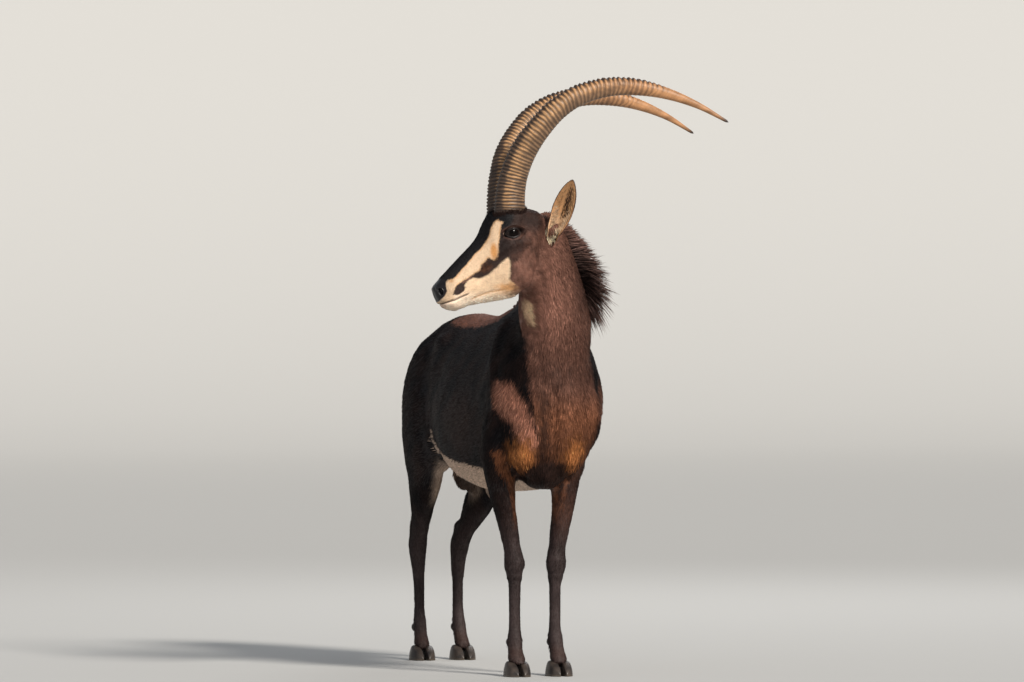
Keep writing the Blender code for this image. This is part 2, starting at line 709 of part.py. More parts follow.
# ---------------------------------------------------------------- put together
def build():
    clear_scene()
    body = fuse_body()
    crest = mane()
    tuft = tail_tuft()
    whole = copy_of(body, "whole")
    swell(whole, 1.5 * GAP)
    cut(crest, whole, "DIFFERENCE", "MANIFOLD")
    cut(tuft, whole, "DIFFERENCE", "MANIFOLD")
    bpy.data.objects.remove(whole)

    tail = part_off(body, "tail", (-0.036, TAIL_CUT, 0.800), (0.0, 1.0, 0.0), 0.60, 0.40)

    low = part_off(body, "legs", (0.0, 0.7, LEG_CUT), (0.0, 0.0, -1.0), 1.2, 1.0)
    limbs = []
    for limb in loose_parts(low):
        middle = sum((v.co for v in limb.data.vertices), Vector()) / len(limb.data.vertices)
        where = "front" if middle.y < 0.7 else "hind"
        centre = FORE_MIDDLE if where == "front" else HIND_MIDDLE
        limb.name = "leg_%s_%s" % (where, "left" if middle.x > centre else "right")
        limbs.append(limb)

    neck_and_head = part_off(body, "neck", (0.0, 0.165, 1.150), (-0.08, -0.74, 0.67), 0.60, 0.95)
    head = part_off(neck_and_head, "head", head_place(0.012, -0.120), head_place(0.86, 0.42) - head_place(0, 0),
                    0.45, 0.80)
    neck = neck_and_head
    trunk = body
    trunk.name = "trunk"

    flesh = [trunk, neck, head, tail, *limbs]
    horns = [horn("horn_left", 1), horn("horn_right", -1)]
    ears = [
        ear("ear_left", head_place(-0.058, -0.078, 0.052), head_place(-0.088, 0.086, 0.160),
            head_place(0.55, -0.12, 0.78) - head_place(0, 0)),
        ear("ear_right", head_place(-0.058, -0.074, -0.052), head_place(-0.130, -0.010, -0.205),
            head_place(0.70, -0.15, -0.62) - head_place(0, 0)),
    ]
    eyes = [eye("eye_left", 1), eye("eye_right", -1)]
    claws = hooves()

    for part in (trunk, neck, head, tail, *limbs):
        biggest_body(part)
    for solid in (*horns, *ears, *eyes):
        make_room(head, solid)
    for solid in ears:
        make_room(neck, solid)
    for solid in claws:
        for limb in limbs:
            if limb.name.split("_")[1:] == solid.name.split("_")[1:3]:
                make_room(limb, solid)
    biggest_body(crest)
    biggest_body(tuft)
    for obj in flesh:
        paint(obj, "dark coat", COAT, 0.75)
    for obj in (crest, tuft):
        paint(obj, "long hair", COAT, 0.80)
    for obj in ears:
        paint(obj, "ear coat", WARM_COAT, 0.75)
    for obj in horns:
        paint(obj, "horn", HORN_COLOUR, 0.45)
    for obj in eyes:
        paint(obj, "eye", EYE_COLOUR, 0.08)
    for obj in claws:
        paint(obj, "hoof", HOOF_COLOUR, 0.40)

    everything = [o for o in bpy.data.objects if o.type == "MESH"]
    corners = np.array([v.co for o in everything for v in o.data.vertices])
    lo, hi = corners.min(axis=0), corners.max(axis=0)
    shift = Vector((-(lo[0] + hi[0]) / 2, -(lo[1] + hi[1]) / 2, -lo[2]))
    for obj in everything:
        obj.data.transform(Matrix.Translation(shift))
        obj.data.update()
    print("moved by", tuple(round(v, 4) for v in shift))


build()
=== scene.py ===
# %% [markdown]
# # A sable antelope bull, as a museum would show it
# The solid body parts come from the frame. On the real animal one skin covers them all, so here one skin
# replaces them, and horns, eyes, ears, hooves and hair are made as pieces of their own. Shapes are worked
# out as numpy arrays and then put into meshes, because one formula can then be read and changed.

# %% Load the solid frame
import math
import bmesh
import bpy
import numpy as np
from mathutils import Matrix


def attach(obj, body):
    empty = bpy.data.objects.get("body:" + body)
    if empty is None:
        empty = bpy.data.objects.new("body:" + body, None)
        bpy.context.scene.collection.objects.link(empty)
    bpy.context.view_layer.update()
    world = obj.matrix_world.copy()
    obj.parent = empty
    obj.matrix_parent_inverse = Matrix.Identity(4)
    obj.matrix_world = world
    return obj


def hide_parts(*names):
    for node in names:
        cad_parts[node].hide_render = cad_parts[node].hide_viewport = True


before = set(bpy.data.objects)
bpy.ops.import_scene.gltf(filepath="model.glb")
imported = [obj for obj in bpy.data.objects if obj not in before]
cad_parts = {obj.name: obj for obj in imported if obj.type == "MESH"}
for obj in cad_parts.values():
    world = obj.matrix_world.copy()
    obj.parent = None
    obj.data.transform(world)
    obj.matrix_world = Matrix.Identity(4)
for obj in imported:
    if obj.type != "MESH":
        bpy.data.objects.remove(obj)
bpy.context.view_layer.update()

# %% [markdown]
# ## Small helpers
# Every new piece ends as points and faces. One helper lays arrays into a mesh, another joins rings of
# points into a closed wall. Python lists of vertices would work too, but arrays are quicker and keep each
# formula in one line.

# %% Lay arrays into a mesh


def lay_mesh(name, points, quads=None, triangles=None, normals=None):
    """A mesh object from points (n, 3) and faces given as rows of four or of three point numbers."""
    quads = np.zeros((0, 4), int) if quads is None else np.asarray(quads)
    triangles = np.zeros((0, 3), int) if triangles is None else np.asarray(triangles)
    corners = np.concatenate([quads.ravel(), triangles.ravel()]).astype(np.int32)
    sizes = np.r_[np.full(len(quads), 4), np.full(len(triangles), 3)]
    mesh = bpy.data.meshes.new(name)
    mesh.vertices.add(len(points))
    mesh.vertices.foreach_set("co", np.asarray(points, np.float32).ravel())
    mesh.loops.add(len(corners))
    mesh.loops.foreach_set("vertex_index", corners)
    mesh.polygons.add(len(sizes))
    mesh.polygons.foreach_set("loop_start", np.r_[0, np.cumsum(sizes)[:-1]].astype(np.int32))
    mesh.update(calc_edges=True)
    mesh.validate()
    mesh.shade_smooth()
    if normals is not None:
        mesh.normals_split_custom_set_from_vertices(normals.tolist())
    obj = bpy.data.objects.new(name, mesh)
    bpy.context.scene.collection.objects.link(obj)
    return obj


def tube_faces(count, sides, first=0):
    """Quads that join count rings of sides points each, in order, starting at point number first."""
    ring = np.arange(count - 1)[:, None] * sides
    here = np.arange(sides)[None, :]
    after = (here + 1) % sides
    return np.stack([ring + here, ring + after, ring + sides + after, ring + sides + here],
                    axis=-1).reshape(-1, 4) + first


def closed_tube(rings):
    """Points, quads and end triangles of rings (n, m, 3): each end closes on its middle point."""
    count, sides = rings.shape[:2]
    points = np.concatenate([rings.reshape(-1, 3), rings[:1].mean(axis=1), rings[-1:].mean(axis=1)])
    here = np.arange(sides)
    after = (here + 1) % sides
    last = (count - 1) * sides
    start = np.stack([after, here, np.full(sides, count * sides)], axis=1)
    end = np.stack([last + here, last + after, np.full(sides, count * sides + 1)], axis=1)
    return points, tube_faces(count, sides), np.concatenate([start, end])


def outward(obj):
    """Turn the faces of a closed piece so that they all point out of it."""
    bm = bmesh.new()
    bm.from_mesh(obj.data)
    bmesh.ops.recalc_face_normals(bm, faces=bm.faces)
    if bm.calc_volume(signed=True) < 0:
        bmesh.ops.reverse_faces(bm, faces=bm.faces)
    bm.to_mesh(obj.data)
    bm.free()
    return obj


def point_value(obj, name, values):
    """Keep one number, or one colour, for each point of a piece."""
    values = np.asarray(values, np.float32)
    if values.ndim == 1:
        obj.data.attributes.new(name, "FLOAT", "POINT").data.foreach_set("value", values)
    else:
        rgba = np.concatenate([values, np.ones((len(values), 1), np.float32)], axis=1)
        obj.data.attributes.new(name, "FLOAT_COLOR", "POINT").data.foreach_set("color", rgba.ravel())


def smooth(value, low, high):
    """0 below low, 1 above high, and an eased slope between."""
    t = np.clip((value - low) / (high - low), 0, 1)
    return t * t * (3 - 2 * t)


def falls(value, low, high):
    """1 below low, 0 above high, and an eased slope between."""
    return 1 - smooth(value, low, high)


def spot(u, v, centre, size):
    """How far each point lies from a centre, as a share of the size given for each of two directions."""
    return np.hypot((u - centre[0]) / size[0], (v - centre[1]) / size[1])


def bump_at(distance, width):
    """A soft bell: 1 at no distance, nearly 0 past two widths."""
    return np.exp(-(distance / width) ** 2)


def unit(vectors):
    """Each vector at length one."""
    return vectors / np.maximum(np.linalg.norm(vectors, axis=-1, keepdims=True), 1e-9)


def curve_through(table, steps):
    """Catmull-Rom curve through the rows of a table, with steps points to each span."""
    rows = np.array(table, float)
    ends = np.vstack([2 * rows[0] - rows[1], rows, 2 * rows[-1] - rows[-2]])
    t = np.linspace(0, 1, steps, endpoint=False)[None, :, None]
    a, b, c, d = (ends[k:len(ends) - 3 + k, None, :] for k in range(4))
    spans = 0.5 * (2 * b + (c - a) * t + (2 * a - 5 * b + 4 * c - d) * t ** 2
                   + (3 * b - a - 3 * c + d) * t ** 3)
    return np.vstack([spans.reshape(-1, rows.shape[1]), rows[-1:]])


def finish_piece(obj, paint, slot_name, *nodes):
    """Paint a piece, fasten it to the one body and hide the solids it stands for; slot_name is not used."""
    obj.data.materials.append(paint)
    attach(obj, "root")
    if nodes:
        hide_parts(*nodes)
    print(obj.name, len(obj.data.polygons), "faces")
    return obj


# %% [markdown]
# ## Camera, floor and light
# A long lens from far off keeps near and far parts at one scale. The light is a plain studio: one large soft
# panel high in front, a weak lamp to fill from the other side, one behind, and an even pale surround.

# %% Camera
VIEW_TURN, LOOK_DOWN = 16.0, 0.5577
camera = bpy.data.objects.new("camera", bpy.data.cameras.new("camera"))
camera.data.sensor_width = 36.0
camera.data.lens = 263.67
camera.data.clip_end = 200.0
camera.location = (-7.0656, -24.5901, 1.367)
camera.rotation_euler = (math.radians(90.0 - LOOK_DOWN), 0.0, math.radians(-VIEW_TURN))
bpy.context.scene.collection.objects.link(camera)
bpy.context.scene.camera = camera

# %% Floor, a wide sheet that rises far behind
FLOOR_HALF, FLAT_END, RISE = 40.0, 26.0, 8.0
bend_angle = np.linspace(0.15, 1.4, 10)
floor_u = np.linspace(-FLOOR_HALF, FLOOR_HALF, 9)
floor_v = np.r_[np.linspace(-FLOOR_HALF, FLAT_END, 12), FLAT_END + RISE * np.sin(bend_angle)]
floor_z = np.r_[np.full(12, -0.0005), RISE * (1 - np.cos(bend_angle))]
grid = np.stack(np.broadcast_arrays(floor_u[:, None], floor_v[None, :], floor_z[None, :]), axis=-1)
here = (np.arange(8)[:, None] * 22 + np.arange(21)[None, :]).ravel()
floor = lay_mesh("floor", grid.reshape(-1, 3), np.stack([here, here + 22, here + 23, here + 1], axis=1))
floor_paint = bpy.data.materials.new("pale floor")
floor_paint.use_nodes = True
floor_paint.node_tree.nodes["Principled BSDF"].inputs["Base Color"].default_value = (0.50, 0.50, 0.49, 1)
floor_paint.node_tree.nodes["Principled BSDF"].inputs["Roughness"].default_value = 0.9
floor.data.materials.append(floor_paint)

# %% Lamps and surround


def soft_lamp(name, place, target, size, power):
    """A square lamp of the given size at a place, turned to shine at a target."""
    lamp = bpy.data.objects.new(name, bpy.data.lights.new(name, "AREA"))
    lamp.data.size = size
    lamp.data.energy = power
    aim = np.array(target) - np.array(place)
    lamp.location = place
    lamp.rotation_euler = (math.acos(-aim[2] / np.linalg.norm(aim)), 0.0,
                           math.atan2(aim[0], -aim[1]) + math.pi)
    bpy.context.scene.collection.objects.link(lamp)


sky_panel = bpy.data.objects.new("sky panel", bpy.data.lights.new("sky panel", "SUN"))
sky_panel.data.energy = 3.9
sky_panel.data.angle = math.radians(11.0)
sky_panel.data.color = (1.0, 0.94, 0.86)
sky_panel.rotation_euler = (math.radians(55.0), 0.0, math.radians(22.0))
bpy.context.scene.collection.objects.link(sky_panel)
soft_lamp("fill lamp", (-6.0, -4.0, 2.4), (0.0, 0.0, 1.0), 3.6, 40.0)
soft_lamp("back lamp", (3.0, 5.5, 5.2), (0.0, 0.2, 1.2), 3.0, 110.0)
surround = bpy.data.worlds.new("studio")
surround.use_nodes = True
surround.node_tree.nodes["Background"].inputs["Color"].default_value = (0.80, 0.84, 0.90, 1)
surround.node_tree.nodes["Background"].inputs["Strength"].default_value = 0.34
bpy.context.scene.world = surround
bpy.context.scene.view_settings.view_transform = "Standard"

# %% [markdown]
# ## Places on the head
# The head is turned to the animal's right and rolled a little, so it has directions of its own: forward
# to the nose, up, and out to its left. Every feature of the face is placed in these.

# %% The head's own directions
HEAD_POLL = np.array((-0.1299, -0.6708, 1.560))
ROLL_COS, ROLL_SIN = math.cos(math.radians(4.5)), math.sin(math.radians(4.5))


def on_head(points):
    """How far forward, up and to its left each point lies from the top of the head."""
    d = points - HEAD_POLL
    return -d[:, 0], d[:, 2] * ROLL_COS + d[:, 1] * ROLL_SIN, -d[:, 1] * ROLL_COS + d[:, 2] * ROLL_SIN


def head_share(points, low=-0.035, high=0.010):
    """1 on the head, 0 on neck and body, with a soft border between the two forward distances."""
    forward, up, left = on_head(points)
    return smooth(forward, low, high) * (up > -0.40) * (np.abs(left) < 0.17)


def head_way(forward, up, left):
    """A direction given in the head's own directions."""
    return np.stack(np.broadcast_arrays(-np.asarray(forward, float), -(left * ROLL_COS - up * ROLL_SIN),
                                        up * ROLL_COS + left * ROLL_SIN), axis=-1)


def from_head(forward, up, left):
    """Back from the head's own directions to a place."""
    return HEAD_POLL + head_way(forward, up, left)


# %% [markdown]
# ## The skin
# One closed skin has to lie just inside the solid flesh. The solid parts are swollen by half a millimetre
# so that they meet, plugged where horns, ears and eyes were let in, and melted into one surface by a
# voxel remesh. Modelling a new body by hand would also work, but this keeps every proportion of the
# solids.

# %% Melt the flesh into one surface
FLESH = ["trunk", "neck", "head", "tail",
         "leg_front_left", "leg_front_right", "leg_hind_left", "leg_hind_right"]
SKIN_VOXEL, SKIN_SWELL = 0.0087, 0.0006
# stretched balls that fill the sockets of eye, horn and ear: centre and radii on the head
PLUGS = (((0.096, -0.080, 0.062), (0.034, 0.030, 0.021)), ((0.098, -0.028, 0.044), (0.055, 0.036, 0.036)),
         ((-0.052, -0.066, 0.052), (0.021, 0.027, 0.020)))


def vertex_normals(points, triangles):
    """Sum of the cross products of the faces around each point, at length one."""
    a, b, c = (points[triangles[:, k]] for k in range(3))
    across = np.cross(b - a, c - a)
    total = np.stack([sum(np.bincount(triangles[:, k], across[:, axis], len(points)) for k in range(3))
                      for axis in range(3)], axis=1)
    return unit(total)


def node_arrays(name, swell):
    """Merged points and triangles of a solid node, pushed out a little along its normals."""
    bm = bmesh.new()
    bm.from_mesh(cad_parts[name].data)
    bmesh.ops.remove_doubles(bm, verts=bm.verts, dist=1e-5)
    bmesh.ops.triangulate(bm, faces=bm.faces)
    points = np.array([v.co for v in bm.verts])
    triangles = np.array([[v.index for v in f.verts] for f in bm.faces])
    bm.free()
    return points + swell * vertex_normals(points, triangles), triangles


def ball_arrays(centre, radii, sides=24, rows=14):
    """Points and faces of a stretched ball: sines and cosines of two angles times three radii on the head."""
    a = np.linspace(0, 2 * np.pi, sides, endpoint=False)[None, :]
    e = np.linspace(-np.pi / 2, np.pi / 2, rows)[1:-1, None]
    places = from_head(centre[0] + radii[0] * np.cos(e) * np.cos(a),
                       centre[1] + radii[1] * np.cos(e) * np.sin(a),
                       centre[2] + radii[2] * np.sin(e) * np.ones_like(a))
    return closed_tube(places)


lumps = [node_arrays(name, SKIN_SWELL) for name in FLESH]
for side in (1, -1):
    for (forward, up, out), radii in PLUGS:
        points, quads, ends = ball_arrays((forward, up, out * side), radii)
        lumps.append((points, np.concatenate([quads[:, [0, 1, 2]], quads[:, [0, 2, 3]], ends])))
starts = np.cumsum([0] + [len(points) for points, _ in lumps])
raw = lay_mesh("raw_flesh", np.concatenate([points for points, _ in lumps]),
               triangles=np.concatenate([faces + start for (_, faces), start in zip(lumps, starts)]))
outward(raw)
melt = raw.modifiers.new("melt", "REMESH")
melt.mode = "VOXEL"
melt.voxel_size = SKIN_VOXEL
bpy.context.view_layer.update()
melted = bpy.data.meshes.new_from_object(raw.evaluated_get(bpy.context.evaluated_depsgraph_get()))
bpy.data.objects.remove(raw)
print("melted skin", len(melted.vertices), "points")

# %% [markdown]
# The remesh leaves small steps and the solids' facets. Both go when every point moves towards the middle
# of its neighbours and then a little further back, which smooths a surface without shrinking thin legs.

# %% Ease and refine the skin


def ease(points, edges, rounds, share=1.0, steps=(0.55, -0.57)):
    """Move points towards the mean of their neighbours, then back a little more, rounds times over."""
    count = np.maximum(np.bincount(edges.ravel(), minlength=len(points)), 1)[:, None]
    for _ in range(rounds):
        for step in steps:
            total = np.stack([np.bincount(edges[:, 0], points[edges[:, 1], axis], len(points))
                              + np.bincount(edges[:, 1], points[edges[:, 0], axis], len(points))
                              for axis in range(3)], axis=1)
            points = points + np.asarray(share) * step * (total / count - points)
    return points


def mesh_arrays(mesh):
    """Points and edges of a mesh as arrays."""
    points = np.empty(len(mesh.vertices) * 3, np.float32)
    mesh.vertices.foreach_get("co", points)
    edges = np.empty(len(mesh.edges) * 2, np.int32)
    mesh.edges.foreach_get("vertices", edges)
    return points.reshape(-1, 3).astype(float), edges.reshape(-1, 2)


def fine_places(points):
    """Where the skin needs twice as many points: the whole head first, then its eyes, nose and mouth."""
    forward, up, left = on_head(points)
    head = (forward > -0.075) & (up > -0.37) & (np.abs(left) < 0.12) & (forward + 0.5 * up > -0.16)
    eye = np.hypot(forward - 0.098, up + 0.082) < 0.050
    mouth = (forward > 0.215) & (up < -0.10)
    return head, head & (eye | mouth)


points, edges = mesh_arrays(melted)
points = ease(points, edges, 26)
_, y, z = points.T
neck_root = smooth(-y, 0.40, 0.48) * smooth(z, 0.95, 1.03) * falls(z, 1.12, 1.20)
points = ease(points, edges, 18, neck_root[:, None], (0.5,))
points = ease(points, edges, 60, neck_root[:, None])
_, y, z = points.T
flank_fold = smooth(y, 0.20, 0.26) * falls(y, 0.42, 0.48) * smooth(z, 0.66, 0.72) * falls(z, 1.00, 1.08)
points = ease(points, edges, 30, flank_fold[:, None])
melted.vertices.foreach_set("co", points.astype(np.float32).ravel())
for level in range(2):
    bm = bmesh.new()
    bm.from_mesh(melted)
    bm.verts.ensure_lookup_table()
    wanted = fine_places(np.array([v.co for v in bm.verts]))[level]
    chosen = [e for e in bm.edges if wanted[e.verts[0].index] and wanted[e.verts[1].index]]
    bmesh.ops.subdivide_edges(bm, edges=chosen, cuts=1, use_grid_fill=True)
    bm.to_mesh(melted)
    bm.free()
    points, edges = mesh_arrays(melted)
    points = ease(points, edges, 5, fine_places(points)[level][:, None] * 1.0)
    melted.vertices.foreach_set("co", points.astype(np.float32).ravel())
bm = bmesh.new()
bm.from_mesh(melted)
bmesh.ops.triangulate(bm, faces=[f for f in bm.faces if len(f.verts) > 4])
bm.to_mesh(melted)
bm.free()
melted.calc_loop_triangles()
skin_triangles = np.empty(len(melted.loop_triangles) * 3, np.int32)
melted.loop_triangles.foreach_get("vertices", skin_triangles)
skin_triangles = skin_triangles.reshape(-1, 3)
skin_points = mesh_arrays(melted)[0]
print("skin", len(skin_points), "points", len(skin_triangles), "triangles")

# %% [markdown]
# ## Outlines and lines on the animal
# Folds and markings follow lines drawn on the side of the head or body. Two helpers measure how near a
# point is to such a line and how far inside a closed outline it lies. The outlines are written in
# millimetres.

# %% Measure from lines and outlines
MM = 0.001


def from_line(u, v, line):
    """Distance to an open line, how far along it the nearest point is (0 to 1), and which side it is on."""
    line = np.array(line, float)
    best = np.full(len(u), 9.0)
    along = np.zeros(len(u))
    side = np.zeros(len(u))
    for k in range(len(line) - 1):
        (x, y), (dx, dy) = line[k], line[k + 1] - line[k]
        t = np.clip(((u - x) * dx + (v - y) * dy) / (dx * dx + dy * dy), 0, 1)
        gap = np.hypot(u - x - t * dx, v - y - t * dy)
        nearer = gap < best
        best = np.where(nearer, gap, best)
        along = np.where(nearer, (k + t) / (len(line) - 1), along)
        side = np.where(nearer, np.sign(dx * (v - y) - dy * (u - x)), side)
    return best, along, side


def read_off(value, rows):
    """The second number of drawn (place, number) rows, read off between them at each value."""
    return np.interp(value, *np.array(rows, float).T)


def inside(u, v, outline):
    """How far inside a closed outline a point lies, less than 0 outside: distance with an even-odd sign."""
    outline = np.array(outline, float)
    gap = from_line(u, v, np.vstack([outline, outline[:1]]))[0]
    odd = np.zeros(len(u), bool)
    for (x0, y0), (x1, y1) in zip(outline, np.roll(outline, -1, axis=0)):
        crosses = (y0 > v) != (y1 > v)
        odd ^= crosses & (u < (x1 - x0) * (v - y0) / (y1 - y0 + 1e-12) + x0)
    return np.where(odd, gap, -gap)


# %% [markdown]
# ## The face
# A face lives by small forms: the ball of the eye under its lids, the comma of the nostril, the line of
# the mouth, the tight cheek muscle. Each is a soft push along the skin's normal, given as a bell around a
# line or point.

# %% Push the forms of the face into the skin
EYE_CENTRE = (0.097, -0.0825, 0.0600)
EYE_RADIUS = 0.0275
LID_HALF_LENGTH = 0.0235
LID_UP, LID_DOWN = 0.0120, 0.0148
LID_TILT = math.radians(-8.0)
MOUTH_LINE = MM * np.array([(380, -318), (345, -315), (332, -314), (322, -312), (308, -308), (291, -303),
                            (274, -295), (257, -288), (238, -279)])
JAW_LINE = MM * np.array([(110, -267), (137, -270), (171, -276), (204, -286), (221, -293), (231, -299)])
NOSTRIL = (0.3385, -0.2740)
# line on the side of the head, rise, width, and how far out from the middle the form starts and is whole:
# the hollow beside the nose, the cheek ridge, the dip under it, the chewing muscle, the tear groove and
# the fold under the eye
FACE_FORMS = [([(290, -222), (235, -176), (190, -120)], -2.4, 16, 20, 35),
              ([(215, -205), (160, -158), (110, -128), (40, -112)], 3.0, 11, 30, 50),
              ([(210, -238), (165, -190), (120, -160)], -2.2, 12, 30, 50),
              ([(140, -235), (130, -275), (100, -300)], -2.4, 10, 10, 30),
              ([(124, -92), (136, -104), (147, -120)], -2.6, 4.5, 40, 60),
              ([(100, -103), (92, -118), (76, -137)], -1.6, 4.0, 40, 60)]


def lid_place(forward, up):
    """Along and across the eye's slit, as shares of its half length and of its half height there."""
    df, dh = forward - EYE_CENTRE[0], up - EYE_CENTRE[1]
    along = (df * math.cos(LID_TILT) + dh * math.sin(LID_TILT)) / LID_HALF_LENGTH
    across = -df * math.sin(LID_TILT) + dh * math.cos(LID_TILT)
    return along, across / np.where(across > 0, LID_UP, LID_DOWN)


def eye_socket(points):
    """How far the skin moves out near the eye: under the ball in the slit, over it as lids, then a crease."""
    forward, up, left = on_head(points)
    out = np.abs(left)
    along, across = lid_place(forward, up)
    reach = np.sqrt(along ** 2 + across ** 2 * (1 + 0.35 * along ** 2))
    r = np.hypot(forward - EYE_CENTRE[0], up - EYE_CENTRE[1])
    ball = EYE_CENTRE[2] + np.sqrt(np.maximum(EYE_RADIUS ** 2 - r ** 2, 0.0))
    near = (out > 0.045) & (r < 0.060)
    lid = ball + 0.0034
    crease = 0.0022 * bump_at(reach - 1.62, 0.13) * smooth(across, -0.3, 0.5)
    bulge = 0.0022 * bump_at(reach - 2.05, 0.30) * smooth(across, -0.2, 0.7)
    target = np.where(reach < 1.0, ball - 0.0045, lid)
    weight = np.where(near, falls(reach, 1.12, 1.75), 0.0)
    new = out + (target - out) * weight + np.where(near, bulge - crease, 0.0)
    return (new - out) * np.sign(left)


def face_relief(points):
    """Depth to push each point of the face along its normal, in metres."""
    forward, up, left = on_head(points)
    out = np.abs(left)
    face = head_share(points, -0.03, 0.02)
    gap, along, _ = from_line(forward, up, MOUTH_LINE)
    open_end = falls(along, 0.86, 1.0)
    push = -0.0042 * bump_at(gap, 0.0022) * open_end
    push += 0.0018 * bump_at(gap - 0.0075, 0.0055) * open_end
    # the chin's cushion and the hollow behind it
    push += 0.0030 * bump_at(np.hypot(forward - 0.300, up + 0.325), 0.020)
    push -= 0.0030 * bump_at(np.hypot(forward - 0.238, up + 0.318), 0.020)
    # nostril: a comma that opens forwards, with a rolled rim
    df, dh = forward - NOSTRIL[0], up - NOSTRIL[1]
    slit_along = df * 0.52 + dh * 0.85
    slit_across = -df * 0.85 + dh * 0.52 + 9.0 * (slit_along - 0.004) ** 2
    ring = np.hypot(slit_along / 0.0125, slit_across / 0.0056)
    flank = smooth(out, 0.010, 0.022)
    push -= 0.0100 * falls(ring, 0.45, 1.05) * flank
    push += 0.0020 * bump_at(ring - 1.35, 0.32) * flank
    # groove under the nose and a flat top to the nose pad
    push -= 0.0022 * bump_at(out, 0.0022) * smooth(forward, 0.335, 0.350) * smooth(up, -0.325, -0.31) \
        * falls(up, -0.285, -0.268)
    jaw = from_line(forward, up, JAW_LINE)
    push -= 0.0016 * bump_at(jaw[0], 0.0040) * smooth(jaw[1], 0.05, 0.2)
    # the long bone of the nose, the temple, and the forms of the table
    bridge = from_line(forward, up, [(0.330, -0.226), (0.270, -0.168), (0.222, -0.118), (0.186, -0.070)])
    push += 0.0015 * bump_at(bridge[0], 0.020) * falls(out, 0.018, 0.030)
    push -= 0.0032 * bump_at(spot(forward, up, (0.020, -0.055), (1.5, 1.0)), 0.022) * smooth(out, 0.03, 0.05)
    for line, *sizes in FACE_FORMS:
        rise, wide, starts, whole = MM * np.array(sizes)
        near = from_line(forward, up, MM * np.array(line))[0]
        push += rise * bump_at(near, wide) * smooth(out, starts, whole)
    return push * face


normals = vertex_normals(skin_points, skin_triangles)
skin_points = skin_points + normals * face_relief(skin_points)[:, None]
skin_points = skin_points + head_way(0.0, 0.0, 1.0) * eye_socket(skin_points)[:, None]

# %% [markdown]
# ## The body's folds
# Under a short coat the shoulder blade, ribs, elbow, flank fold, hip and leg tendons all show. They are
# the same kind of soft push, placed by height, by length along the body and by which side they are on.

# %% Push the forms of the body into the skin
FORE_MIDDLE = -0.0589
RIB_SPACING = 0.052
LEG_OUT = 0.0715
HIND_MIDDLE = -0.0849
# line along the side (length, height), rise, width, and how far from the line the form lies: front and
# back of the shoulder blade, its spine, the upper arm, the flank fold, the stifle and the back of the
# thigh
BODY_FORMS = [([(-455, 860), (-400, 980), (-330, 1120), (-300, 1220)], 5.0, 18, 0),
              ([(-275, 740), (-265, 920), (-230, 1100), (-215, 1200)], -6.5, 26, 0),
              ([(-430, 940), (-375, 1060), (-330, 1180)], -3.0, 16, 35),
              ([(-440, 870), (-360, 800), (-300, 720)], -5.0, 14, 0),
              ([(335, 900), (330, 820), (315, 760), (275, 715)], 8.0, 16, 0),
              ([(335, 740), (385, 860), (400, 980)], -4.5, 20, 0),
              ([(585, 620), (600, 740), (630, 880), (640, 1000)], -5.0, 16, 0)]


def body_relief(points):
    """Depth to push each point of the body along its normal, in metres."""
    x, y, z = points.T
    wide = smooth(np.abs(x - 0.02), 0.08, 0.13)
    push = np.zeros(len(points))
    for line, *sizes in BODY_FORMS:
        rise, width, off = MM * np.array(sizes)
        push += rise * bump_at(from_line(y, z, MM * np.array(line))[0] - off, width) * wide
    ribs = 0.5 + 0.5 * np.cos((y + 0.30 * z) * 2 * math.pi / RIB_SPACING)
    push += 0.0007 * ribs * smooth(y, -0.20, -0.12) * falls(y, 0.12, 0.26) * smooth(z, 0.76, 0.84) \
        * falls(z, 1.02, 1.14) * wide
    push -= 0.0090 * bump_at(spot(y, z, (0.275, 1.00), (1.0, 1.3)), 0.060) * wide
    backbone = smooth(z, 1.12, 1.16) * smooth(y, 0.0, 0.1) * falls(y, 0.60, 0.66)
    push += 0.0030 * bump_at(x - 0.012, 0.014) * backbone
    push += 0.0080 * bump_at(y - 0.02, 0.12) * smooth(z, 1.15, 1.22) * (y > -0.25)
    # legs: the tendon behind the cannon, the groove before it, the flat of the knee
    low = falls(z, 0.50, 0.56)
    is_fore = y < 0.1
    middle = np.where(is_fore, FORE_MIDDLE, HIND_MIDDLE)
    leg_x = middle + np.sign(x - middle) * LEG_OUT
    cannon = smooth(z, 0.13, 0.17) * falls(z, 0.30, 0.34)
    groove_y = np.where(is_fore, -0.4240, 0.6960)
    push -= 0.0028 * bump_at(y - groove_y, 0.0045) * bump_at(np.abs(x - leg_x) - 0.021, 0.012) * cannon * low
    push += 0.0022 * bump_at(z - 0.385, 0.018) * (y < -0.44) * low * is_fore
    push -= 0.0016 * bump_at(z - 0.345, 0.010) * low * is_fore
    push -= 0.0030 * bump_at(x - leg_x, 0.004) * falls(z, 0.045, 0.075) * (y < np.where(is_fore, -0.47, 0.65))
    push += 0.0020 * bump_at(z - 0.40, 0.03) * (y > 0.68) * low
    # breast: the groove between the two muscles, and the grooves beside the windpipe
    breast = falls(y, -0.50, -0.40) * smooth(z, 0.70, 0.78) * falls(z, 0.93, 1.02)
    push -= 0.0120 * bump_at(x + 0.047, 0.016) * breast
    push += 0.0120 * bump_at(z - 1.072, 0.045) * smooth(-y, 0.50, 0.57)
    for off in (-0.040, 0.045):
        windpipe = from_line(x, z, [(-0.080 + off, 1.34), (-0.060 + off, 1.22),
                                    (-0.045 + off, 1.10), (-0.045 + off, 0.98)])
        push -= 0.0042 * bump_at(windpipe[0], 0.014) * falls(y, -0.58, -0.50)
    push -= 0.0040 * bump_at(np.hypot(y + 0.335, z - 0.70), 0.03) * wide
    return push


normals = vertex_normals(skin_points, skin_triangles)
skin_points = skin_points + normals * body_relief(skin_points)[:, None]
